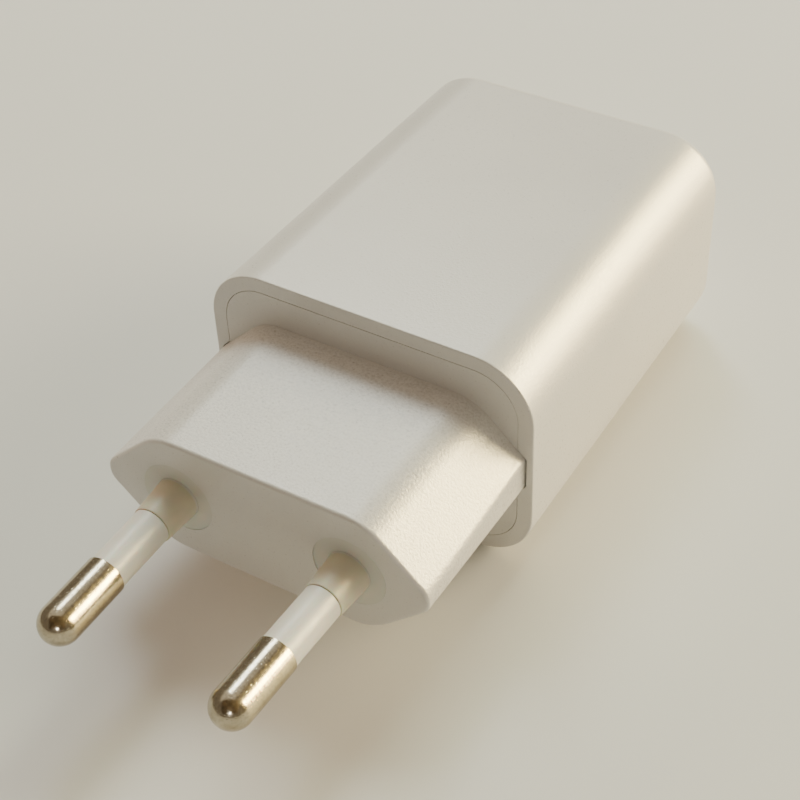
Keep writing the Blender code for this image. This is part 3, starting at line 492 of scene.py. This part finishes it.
def bush_look():
    """Slightly translucent moulded plastic, whose thin collar looks ivory against the pin."""
    look = Look("ivory_bush", roughness=0.42, Subsurface_Weight=0.5, Subsurface_Scale=1.2 * MM)
    tone = look.noise(1.8 * MM, detail=3.0)
    disc = look.ramp(tone, [(0.3, (0.655, 0.645, 0.605)), (0.7, (0.685, 0.675, 0.635))])
    collar = look.ramp(tone, [(0.3, (0.63, 0.60, 0.48)), (0.7, (0.665, 0.635, 0.515))])
    look.colour(look.mix(collar, disc, look.beyond(Y_FACE - 0.2 * MM, Y_FACE - 0.05 * MM)))
    grain = look.noise(0.2 * MM, detail=2.0)
    look.roughness(look.ramp(grain, [(0.3, 0.34), (0.7, 0.50)]))
    look.bump(grain, 0.008 * MM)
    return look.material


def nickel_look():
    """Worn nickel plate on turned brass, with fine lines round the pin and small pits."""
    look = Look("nickel_plate", roughness=0.2, metallic=1.0)
    patina = look.noise(1.6 * MM, detail=4.0)
    tone = look.ramp(patina, [(0.32, (0.41, 0.36, 0.26)), (0.68, (0.50, 0.45, 0.35))])
    specks = look.ramp(look.noise(0.28 * MM, detail=3.0), [(0.35, 0.84), (0.55, 1.0)])
    look.colour(look.mix(tone, specks, 1.0, "MULTIPLY"))
    wear = look.noise(0.3 * MM, detail=3.0)
    look.roughness(look.ramp(wear, [(0.3, 0.13), (0.7, 0.25)]))
    lines = look.noise(0.20 * MM, detail=3.0, stretch=(0.08, 1.0, 0.08))
    look.bump(lines, 0.009 * MM)
    pits = look.ramp(look.cells(0.34 * MM), [(0.0, 0.0), (0.22, 1.0)])
    look.bump(pits, 0.014 * MM)
    return look.material


def metal_look(name, dark, light, roughness, size, stretch=(1.0, 1.0, 1.0), depth=0.004 * MM):
    look = Look(name, roughness=roughness, metallic=1.0)
    grain = look.noise(size, detail=3.0, stretch=stretch)
    look.colour(look.ramp(look.noise(8 * size, detail=3.0), [(0.3, dark), (0.7, light)]))
    look.roughness(look.ramp(grain, [(0.3, roughness - 0.06), (0.7, roughness + 0.08)]))
    look.bump(grain, depth)
    return look.material


def matt_look(name, dark, light, roughness, size, depth):
    look = Look(name, roughness=roughness)
    grain = look.noise(size, detail=3.0)
    look.colour(look.ramp(look.noise(6 * size, detail=4.0), [(0.3, dark), (0.7, light)]))
    look.roughness(look.ramp(grain, [(0.3, roughness - 0.07), (0.7, roughness + 0.07)]))
    look.bump(grain, depth)
    return look.material


def winding_look(name, size, axis):
    """Close-wound enamelled copper wire, with painted shade in the grooves between the turns."""
    look = Look(name, roughness=0.3, metallic=0.8)
    turns = look.waves(size, axis, distortion=0.15)
    # The dark stop is painted shade in the grooves between the turns, where the bump is lowest.
    look.colour(look.ramp(turns, [(0.0, (0.16, 0.045, 0.02)), (0.5, (0.62, 0.25, 0.10))]))
    look.roughness(look.ramp(look.noise(0.6 * MM), [(0.3, 0.24), (0.7, 0.40)]))
    look.bump(turns, 0.05 * MM)
    return look.material


def board_look():
    """Glass-epoxy board: solder mask over the weave, with lighter copper areas under it."""
    look = Look("circuit_board", roughness=0.4)
    weave = look.mix(look.waves(0.5 * MM, "X"), look.waves(0.5 * MM, "Y"), 0.5)
    areas = look.ramp(
        look.cells(4.2 * MM, feature="DISTANCE_TO_EDGE"),
        [(0.06, (0.16, 0.22, 0.07)), (0.09, (0.30, 0.37, 0.13))],
    )
    look.colour(look.mix(areas, look.ramp(weave, [(0.0, 0.85), (1.0, 1.0)]), 1.0, "MULTIPLY"))
    look.roughness(look.ramp(look.noise(0.8 * MM), [(0.3, 0.32), (0.7, 0.5)]))
    look.bump(weave, 0.006 * MM)
    return look.material


def floor_look():
    look = Look("pale_floor", roughness=0.62)
    tone = look.noise(40 * MM, detail=3.0)
    look.colour(look.ramp(tone, [(0.3, (0.742, 0.748, 0.742)), (0.7, (0.756, 0.762, 0.756))]))
    look.roughness(look.ramp(look.noise(0.6 * MM), [(0.3, 0.56), (0.7, 0.68)]))
    look.bump(look.noise(0.5 * MM, detail=3.0), 0.006 * MM)
    return look.material


CASE = case_look("white_case", 0.030 * MM)
BLOCK = case_look("white_block", 0.048 * MM)
SLEEVE = sleeve_look()
BUSH = bush_look()
NICKEL = nickel_look()
TINNED = metal_look("tinned_steel", (0.52, 0.53, 0.54), (0.66, 0.66, 0.66), 0.26, 0.12 * MM)
GILT = metal_look("gilt_contact", (0.80, 0.58, 0.24), (0.93, 0.74, 0.38), 0.2, 0.1 * MM)
BRONZE = metal_look("phosphor_bronze", (0.62, 0.40, 0.20), (0.78, 0.55, 0.30), 0.3, 0.2 * MM)
INSULATOR = matt_look(
    "white_insulator", (0.80, 0.80, 0.78), (0.87, 0.87, 0.85), 0.42, 0.15 * MM, 0.004 * MM
)


# ------------------------------------------------------------------------ case


def make_case():
    sections = []
    for inset, depth in quarter_arc(RIM_EDGE, 5):
        sections.append((Y_RIM + depth, case_outline(depth, inset)))
    for inset, depth in reversed(quarter_arc(SHELL_END_ROUNDING, 14)):
        sections.append((Y_END - depth, case_outline(SHELL_LENGTH - depth, inset)))
    case = add_object("case_shell", loft(sections))

    wall = case_outline(0, SIDE_WALL)
    cavity = [(Y_RIM - OVERCUT, shrink(wall, -SEAM_EDGE))]
    for inset, depth in quarter_arc(SEAM_EDGE, 3):
        cavity.append((Y_RIM + depth, shrink(wall, -inset)))
    cavity.append((Y_END - END_WALL, wall))
    cut(case, loft(cavity))

    gap = 0.15 * MM
    notch = plug_outline(
        ROOT_POINT + gap, ROOT_HALF_HEIGHT, ROOT_FLAT, ROOT_TIP + gap, ROOT_TIP_RADIUS
    )
    behind_plate = 0.1 * MM
    notch_sections = [
        (Y_RIM - OVERCUT, shrink(notch, -SEAM_EDGE)),
        (Y_RIM, shrink(notch, -SEAM_EDGE)),
        (Y_RIM + SEAM_EDGE, notch),
        (Y_RIM + PLATE_THICKNESS + behind_plate, notch),
    ]
    cut(case, loft(notch_sections))

    lead_in, margin = 0.5 * MM, 0.2 * MM
    mouth = rounded_rectangle(
        PORT_WIDTH + 2 * margin, PORT_HEIGHT + 2 * margin, PORT_CORNER + margin
    )
    port = [(Y_END - END_WALL - OVERCUT, mouth)]
    for inset, depth in reversed(quarter_arc(lead_in, 8)):
        port.append((Y_END - depth, shrink(mouth, -inset)))
    port.append((Y_END + OVERCUT, shrink(mouth, -lead_in)))
    cut(case, loft(port))
    for rail in board_rails():
        join(case, rail)
    case.data.transform(Matrix.Translation((0, 0, Z_MID)))
    finish_piece(case, "charger_body", ["outer_shell"], CASE)


def board_rails():
    """Ribs along the inner side walls, above and below the board's edges."""
    board_low, board_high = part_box("main_board")
    clearance, height, reach, overlap = 0.15 * MM, 0.9 * MM, 2.3 * MM, 0.4 * MM
    inner = SHELL_WIDTH / 2 - SIDE_WALL
    below = board_low.z - Z_MID - clearance
    above = board_high.z - Z_MID + clearance
    spans = [
        (3.0 * MM, 36.0 * MM, below - height, below),
        (14.5 * MM, 21.5 * MM, above, above + height),
    ]
    rails = []
    for start, end, low, high in spans:
        for sign in (-1, 1):
            near, far = sorted((sign * (inner - reach), sign * (inner + overlap)))
            rails.append(block((near, start, low), (far, end, high)))
    return rails


def make_plug_cap():
    face = plug_outline(FACE_POINT, FACE_HALF_HEIGHT, FACE_FLAT, FACE_TIP, FACE_TIP_RADIUS)
    root = plug_outline(ROOT_POINT, ROOT_HALF_HEIGHT, ROOT_FLAT, ROOT_TIP, ROOT_TIP_RADIUS)
    sections = []
    for inset, depth in quarter_arc(PLUG_EDGE, 6):
        outline = between(face, root, depth / PLUG_LENGTH)
        sections.append((Y_FACE + depth, shrink(outline, inset)))
    for share in (0.25, 0.5, 0.75, 1.0):
        sections.append((Y_FACE + PLUG_LENGTH * share, between(face, root, share)))
    plate_back = Y_RIM + PLATE_THICKNESS
    overlap = 0.2 * MM
    sections.append((plate_back - overlap, root))
    cap = add_object("plug_block", loft(sections))

    inset, step = SIDE_WALL + SEAM_GAP, 0.1 * MM
    plate = case_outline(0, inset)
    skirt = shrink(plate, step)
    sections = [(Y_RIM + depth, shrink(plate, i)) for i, depth in quarter_arc(SEAM_EDGE, 3)]
    sections += [(plate_back, plate), (plate_back, skirt), (plate_back + SKIRT_DEPTH, skirt)]
    join(cap, loft(sections))
    pocket = case_outline(0, inset + SKIRT_WALL)
    cut(cap, loft([(plate_back, pocket), (plate_back + SKIRT_DEPTH + OVERCUT, pocket)]))

    hollow_tip_radius, hollow_ridge_radius = 1.0 * MM, 4.0 * MM
    hollow = plug_outline(
        ROOT_POINT - 2.2 * MM,
        FACE_HALF_HEIGHT - PLUG_WALL,
        FACE_FLAT - 0.7 * MM,
        ROOT_TIP - 2 * PLUG_WALL,
        hollow_tip_radius,
        hollow_ridge_radius,
    )
    cut(cap, loft([(Y_FACE + PLUG_FRONT_WALL, hollow), (plate_back + OVERCUT, hollow)]))

    bore_radius = BUSH_RADIUS + BUSH_GAP
    bore = [
        (0.0, OVERCUT),
        (bore_radius + BUSH_EASE, OVERCUT),
        (bore_radius + BUSH_EASE, 0.0),
        (bore_radius, -BUSH_EASE),
        (bore_radius, -PLUG_FRONT_WALL - OVERCUT),
        (0.0, -PLUG_FRONT_WALL - OVERCUT),
    ]
    for sign in (-1, 1):
        x = sign * PIN_SPACING_AT_FACE / 2
        placed = Matrix.Translation((x, Y_FACE, 0)) @ Matrix.Rotation(math.pi / 2, 4, "X")
        cut(cap, turn(bore, placed))
    cap.data.transform(Matrix.Translation((0, 0, Z_MID)))
    finish_piece(cap, "charger_body", ["plug_cap"], BLOCK)


# ------------------------------------------------------------------------ pins


def make_pin(side, sign):
    """One pin, its sleeve and its bush, all about an axis that converges slightly."""
    lean = math.atan((PIN_SPACING_AT_FACE - PIN_SPACING_AT_TIP) / 2 / PIN_LENGTH)
    length = PIN_LENGTH / math.cos(lean)
    placed = Matrix.Translation((sign * PIN_SPACING_AT_FACE / 2, Y_FACE, Z_MID))
    placed = placed @ Matrix.Rotation(-sign * lean, 4, "Z") @ Matrix.Rotation(math.pi / 2, 4, "X")

    metal_start = length - PIN_METAL_LENGTH
    dome_steps = 24
    angles = [math.pi / 2 * (1 - step / dome_steps) for step in range(dome_steps + 1)]
    dome_centre = length - PIN_RADIUS
    dome = [(PIN_RADIUS * math.cos(a), dome_centre + PIN_RADIUS * math.sin(a)) for a in angles]
    dome[0] = (0.0, length)
    edge, root_edge = 0.035 * MM, 0.4 * MM
    bush_back = -PLUG_FRONT_WALL - BUSH_FLANGE_THICKNESS
    ring_top, ring_radius, ring_thickness = bush_back - 0.3 * MM, 2.1 * MM, 0.6 * MM
    shank = [
        (PIN_RADIUS, metal_start + edge),
        (PIN_RADIUS - edge, metal_start),
        (PIN_CORE_RADIUS, metal_start),
        (PIN_CORE_RADIUS, ring_top),
        (ring_radius, ring_top),
        (ring_radius, ring_top - ring_thickness),
        (PIN_CORE_RADIUS, ring_top - ring_thickness),
        (PIN_CORE_RADIUS, root_edge - PIN_ROOT_LENGTH),
        (PIN_CORE_RADIUS - root_edge, -PIN_ROOT_LENGTH),
        (0.0, -PIN_ROOT_LENGTH),
    ]
    pin = add_object(f"pin_metal_{side}", turn(dome + shank, placed))
    finish_piece(pin, "charger_body", [f"pin_{side}"], NICKEL)

    gap = 0.03 * MM
    bore = PIN_CORE_RADIUS + gap
    top, bottom = metal_start - gap, COLLAR_LENGTH + gap
    ease = 0.04 * MM
    tube = [
        (bore, top),
        (SLEEVE_RADIUS - ease, top),
        (SLEEVE_RADIUS, top - ease),
        (SLEEVE_RADIUS, bottom + ease),
        (SLEEVE_RADIUS - ease, bottom),
        (bore, bottom),
    ]
    sleeve = add_object(f"pin_tube_{side}", turn(tube, placed, closed=True))
    finish_piece(sleeve, "charger_body", [f"pin_sleeve_{side}"], SLEEVE)

    # The pin's lean lifts one side of the disc, so the disc sits back by a part of that.
    drop = 0.4 * BUSH_RADIUS * math.sin(lean)
    collar = [(bore, COLLAR_LENGTH)]
    for inset, depth in quarter_arc(0.10 * MM, 6):
        collar.append((COLLAR_FRONT_RADIUS - inset, COLLAR_LENGTH - depth))
    groove = 0.035 * MM
    flange_front = -PLUG_FRONT_WALL - 0.15 * MM
    disc = [
        (COLLAR_BASE_RADIUS, -drop - groove),
        (COLLAR_BASE_RADIUS + groove, -drop - groove),
        (COLLAR_BASE_RADIUS + 1.6 * groove, -drop),
        (BUSH_RADIUS - BUSH_EASE, -drop),
        (BUSH_RADIUS, -drop - BUSH_EASE),
        (BUSH_RADIUS, flange_front),
        (BUSH_FLANGE_RADIUS, flange_front),
        (BUSH_FLANGE_RADIUS, bush_back),
        (bore, bush_back),
    ]
    bush = add_object(f"pin_collar_{side}", turn(collar + disc, placed, closed=True))
    finish_piece(bush, "charger_body", [f"pin_bush_{side}"], BUSH)


# -------------------------------------------------------------- USB receptacle


def make_shield():
    """The receptacle's folded shield, with a seam underneath and four spring fingers."""
    low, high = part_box("usb_shield")
    back, front = low.y, high.y
    outer = rounded_rectangle(
        PORT_WIDTH + 2 * SHIELD_WALL, PORT_HEIGHT + 2 * SHIELD_WALL, PORT_CORNER + SHIELD_WALL, 8
    )
    inner = rounded_rectangle(PORT_WIDTH, PORT_HEIGHT, PORT_CORNER, 8)
    ease = 0.06 * MM
    tube = [(back, outer), (front - ease, outer), (front, shrink(outer, ease))]
    shield = add_object("port_shield", loft(tube))
    flare = shrink(inner, -ease)
    inside = [(back - OVERCUT, inner), (front - ease, inner), (front, flare)]
    cut(shield, loft(inside + [(front + OVERCUT, flare)]))

    leg_start, leg_end = back + 4.5 * MM, back + 6.5 * MM
    leg_top = 1.4 * MM - PORT_HEIGHT / 2
    side = PORT_WIDTH / 2 + SHIELD_WALL
    for sign in (-1, 1):
        near, far = sorted((sign * (side - SHIELD_WALL), sign * side))
        join(shield, block((near, leg_start, low.z - Z_MID), (far, leg_end, leg_top)))

    seam = 0.05 * MM
    bottom = -PORT_HEIGHT / 2 - SHIELD_WALL
    seam_low = (-seam, back - OVERCUT, bottom - OVERCUT)
    cut(shield, block(seam_low, (seam, front + OVERCUT, bottom + OVERCUT)))

    root = front - 1.5 * MM
    window = 0.35 * MM
    half, far = FINGER_WIDTH / 2 + window, root - FINGER_LENGTH - window
    wall = PORT_HEIGHT / 2 + SHIELD_WALL / 2
    fingers = []
    for x in (-3.2 * MM, 3.2 * MM):
        for sign in (-1, 1):
            lower, upper = sorted((sign * (wall - SHIELD_WALL), sign * (wall + SHIELD_WALL)))
            cut(shield, block((x - half, far, lower), (x + half, root, upper)))
            fingers.append(spring_finger(x, root, wall, sign))
    merged = bmesh.new()
    merged.from_mesh(shield.data)
    for finger in fingers:
        bmesh.ops.recalc_face_normals(finger, faces=finger.faces)
        part = bpy.data.meshes.new("finger")
        finger.to_mesh(part)
        finger.free()
        merged.from_mesh(part)
        bpy.data.meshes.remove(part)
    merged.to_mesh(shield.data)
    merged.free()
    shield.data.transform(Matrix.Translation((0, 0, Z_MID)))
    finish_piece(shield, "charger_body", ["usb_shield"], TINNED)


def spring_finger(x, root, wall, sign):
    """One finger, rooted in the shield's wall and bent towards the port's middle."""
    drops = [(0.0, 0.0), (0.25, 0.02), (0.6, 0.30), (0.78, 0.52), (0.9, 0.42), (1.0, 0.15)]
    root_overlap = 0.05 * MM
    path = []
    for share, drop in drops:
        path.append((root + root_overlap - share * FINGER_LENGTH, sign * (wall - drop * MM)))
    finger = strip(smooth_path(path), FINGER_WIDTH, FINGER_THICKNESS)
    finger.transform(Matrix.Translation((x, 0, 0)))
    return finger


def make_tongue():
    low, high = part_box("usb_tongue")
    blade_root = high.y - TONGUE_LENGTH
    top = Z_MID + PORT_HEIGHT / 2 - TONGUE_BACK_GAP
    bottom = top - TONGUE_THICKNESS
    base = block(low, (high.x, blade_root, high.z), rounding=PORT_CORNER / 2)
    tongue = add_object("port_tongue", base)
    half, overlap = TONGUE_WIDTH / 2, 1.0 * MM
    blade_low, blade_high = (-half, blade_root - overlap, bottom), (half, high.y, top)
    join(tongue, block(blade_low, blade_high, rounding=0.2 * MM))
    contact_height = bottom + 0.65 * MM
    slot_top, tail_bottom = contact_height + 0.4 * MM, contact_height - 0.3 * MM
    groove_start, groove_end = blade_root + 0.3 * MM, high.y - 0.4 * MM
    groove_bottom = bottom - 0.5 * MM
    outline = [
        (low.y - OVERCUT, tail_bottom),
        (groove_start, tail_bottom),
        (groove_start, groove_bottom),
        (groove_end, groove_bottom),
        (groove_end, slot_top),
        (low.y - OVERCUT, slot_top),
    ]
    for offset in CONTACT_OFFSETS:
        slot = side_profile(outline, CONTACT_SLOT_WIDTH / 2)
        slot.transform(Matrix.Translation((offset, 0, 0)))
        cut(tongue, slot)
    finish_piece(tongue, "charger_body", ["usb_tongue"], INSULATOR)


def make_contact(number, offset):
    joint = next(j for j in frame["joints"] if j["child"] == f"contact_spring_{number}")
    pivot = Vector(joint["pos_m"])
    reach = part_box(f"usb_contact_{number}")[1].y - pivot.y
    leaf = [
        (0.0, 0.0),
        (2.2 * MM, -0.1 * MM),
        (reach - 2.3 * MM, -0.9 * MM),
        (reach - 1.4 * MM, -1.0 * MM),
        (reach - 0.3 * MM, -0.38 * MM),
        (reach - 0.02 * MM, -0.3 * MM),
    ]
    bm = strip(smooth_path(leaf), CONTACT_WIDTH, CONTACT_THICKNESS)
    bm.transform(Matrix.Translation((offset, pivot.y, pivot.z)))
    contact = add_object(f"port_contact_{number}", bm)
    body, nodes = f"contact_spring_{number}", [f"usb_contact_{number}"]
    finish_piece(contact, body, nodes, GILT)


# ---------------------------------------------------------------- inner pieces


def dress_inner_pieces():
    """The materials of the CAD nodes that stay as they are, inside the case."""
    ferrite = matt_look(
        "ferrite", (0.05, 0.05, 0.055), (0.095, 0.095, 0.10), 0.6, 0.12 * MM, 0.01 * MM
    )
    phenolic = matt_look(
        "bobbin_plastic", (0.035, 0.033, 0.03), (0.07, 0.068, 0.06), 0.48, 0.3 * MM, 0.01 * MM
    )
    tape = matt_look(
        "polyester_tape", (0.78, 0.54, 0.05), (0.88, 0.66, 0.12), 0.3, 1.2 * MM, 0.03 * MM
    )
    can = matt_look(
        "capacitor_sleeve", (0.025, 0.03, 0.06), (0.05, 0.06, 0.10), 0.34, 0.8 * MM, 0.01 * MM
    )
    coating = matt_look(
        "resistor_coating", (0.22, 0.34, 0.30), (0.34, 0.46, 0.42), 0.62, 0.2 * MM, 0.02 * MM
    )
    ceramic = matt_look(
        "blue_dip", (0.04, 0.12, 0.36), (0.08, 0.19, 0.48), 0.32, 0.9 * MM, 0.02 * MM
    )
    package = matt_look(
        "black_package", (0.018, 0.018, 0.02), (0.036, 0.036, 0.04), 0.55, 0.1 * MM, 0.006 * MM
    )
    paper = matt_look(
        "fish_paper", (0.72, 0.69, 0.60), (0.84, 0.82, 0.74), 0.72, 0.25 * MM, 0.01 * MM
    )
    looks = {
        "main_board": board_look(),
        "pin_contact_left": BRONZE,
        "pin_contact_right": BRONZE,
        "transformer_core_front": ferrite,
        "transformer_core_rear": ferrite,
        "transformer_bobbin": phenolic,
        "transformer_primary_winding": winding_look("primary_wire", 0.2 * MM, "Y"),
        "transformer_secondary_winding": tape,
        "transformer_core_tape": tape,
        "bulk_capacitor_1": can,
        "bulk_capacitor_2": can,
        "output_capacitor_1": can,
        "output_capacitor_2": can,
        "fuse_resistor": coating,
        "filter_inductor_core": ferrite,
        "filter_inductor_winding": winding_look("choke_wire", 0.3 * MM, "Z"),
        "y_capacitor": ceramic,
        "bridge_rectifier": package,
        "controller_ic": package,
        "output_rectifier": package,
        "insulation_barrier": paper,
    }
    for number in range(1, len(CONTACT_OFFSETS) + 1):
        looks[f"usb_contact_tail_{number}"] = GILT
    for name, look in looks.items():
        for material_slot in frame["nodes"][name].material_slots:
            material_slot.material = look


# ----------------------------------------------------------------------- stage


def make_floor():
    bm = bmesh.new()
    bmesh.ops.create_grid(bm, x_segments=2, y_segments=2, size=1.5)
    floor = add_object("floor", bm)
    floor.data.materials.append(floor_look())


def add_softbox(name, direction, distance, size, colour, power, matt=True, sheen=True):
    """A rectangular area light that faces the charger, for matt surfaces, sheen or both."""
    light = bpy.data.lights.new(name, "AREA")
    light.shape = "RECTANGLE"
    light.size, light.size_y = size
    light.color = colour
    light.energy = power
    lamp = bpy.data.objects.new(name, light)
    towards = Vector(direction).normalized()
    lamp.location = Vector((0, 0, Z_MID)) + towards * distance
    lamp.rotation_euler = towards.to_track_quat("Z", "Y").to_euler()
    lamp.visible_diffuse = matt
    lamp.visible_glossy = sheen
    bpy.context.scene.collection.objects.link(lamp)


def make_lights():
    add_softbox("window", (0.694, 0.625, 0.358), 0.7, (0.44, 0.28), (1.0, 0.84, 0.53), 5.1, sheen=False)
    add_softbox("window_sheen", (0.655, 0.63, 0.42), 0.7, (0.5, 0.24), (1.0, 0.79, 0.34), 23.0, matt=False)
    add_softbox("window_foot", (0.70, 0.70, 0.14), 0.7, (0.5, 0.26), (1.0, 0.78, 0.38), 10.5, matt=False)
    add_softbox("sky_panel", (-0.370, 0.492, 0.788), 0.7, (0.16, 0.24), (0.93, 1.0, 0.96), 1.8)
    add_softbox("back_top", (-0.05, 0.65, 0.75), 0.9, (0.4, 0.4), (0.90, 1.0, 0.76), 4.5, sheen=False)
    add_softbox("left_fill", (-0.9, 0.1, 0.4), 0.9, (0.5, 0.4), (1.0, 0.62, 0.35), 2.3, sheen=False)
    add_softbox("right_low", (0.97, 0.1, 0.2), 0.9, (0.5, 0.3), (1.0, 0.83, 0.6), 0.8, sheen=False)
    add_softbox("ceiling_sheen", (-0.25, 0.0, 0.97), 0.9, (1.0, 1.0), (1.0, 0.93, 0.78), 2.0, matt=False)
    add_softbox("glint", (0.36, -0.80, 0.30), 0.30, (0.03, 0.03), (1.0, 0.97, 0.92), 0.12, matt=False)
    world = bpy.data.worlds.new("studio")
    bpy.context.scene.world = world
    world.use_nodes = True
    background = world.node_tree.nodes["Background"]
    background.inputs["Color"].default_value = (1.0, 0.828, 0.620, 1.0)
    background.inputs["Strength"].default_value = 0.28


def make_flag():
    """A dark card behind the camera, which shows only in reflections."""
    bm = bmesh.new()
    bmesh.ops.create_grid(bm, x_segments=1, y_segments=1, size=0.5)
    flag = add_object("dark_flag", bm)
    towards = Vector((0.28, -0.56, 0.78)).normalized()
    flag.scale = (0.62, 0.50, 1.0)
    flag.location = Vector((0, Y_TIP, Z_MID)) + towards * 0.36
    flag.rotation_euler = towards.to_track_quat("Z", "Y").to_euler()
    card = matt_look("dark_card", (0.012, 0.008, 0.005), (0.16, 0.11, 0.07), 0.8, 60 * MM, 0.1 * MM)
    flag.data.materials.append(card)
    flag.visible_camera = flag.visible_diffuse = flag.visible_shadow = False


def make_camera():
    camera = bpy.data.cameras.new("camera")
    camera.sensor_width = 36.0
    camera.lens = 74.96
    camera.shift_x, camera.shift_y = -0.0349, -0.0255
    camera.clip_start, camera.clip_end = 0.01, 10.0
    holder = bpy.data.objects.new("camera", camera)
    holder.location = (0.06763, -0.10133, 0.11984)
    holder.rotation_euler = [math.radians(a) for a in (48.942, 1.425, 30.536)]
    bpy.context.scene.collection.objects.link(holder)
    bpy.context.scene.camera = holder


# -------------------------------------------------------------------- assembly

make_case()
make_plug_cap()
for side, sign in (("left", -1), ("right", 1)):
    make_pin(side, sign)
make_shield()
make_tongue()
for number, offset in enumerate(CONTACT_OFFSETS, start=1):
    make_contact(number, offset)
dress_inner_pieces()
make_floor()
make_flag()
make_lights()
make_camera()
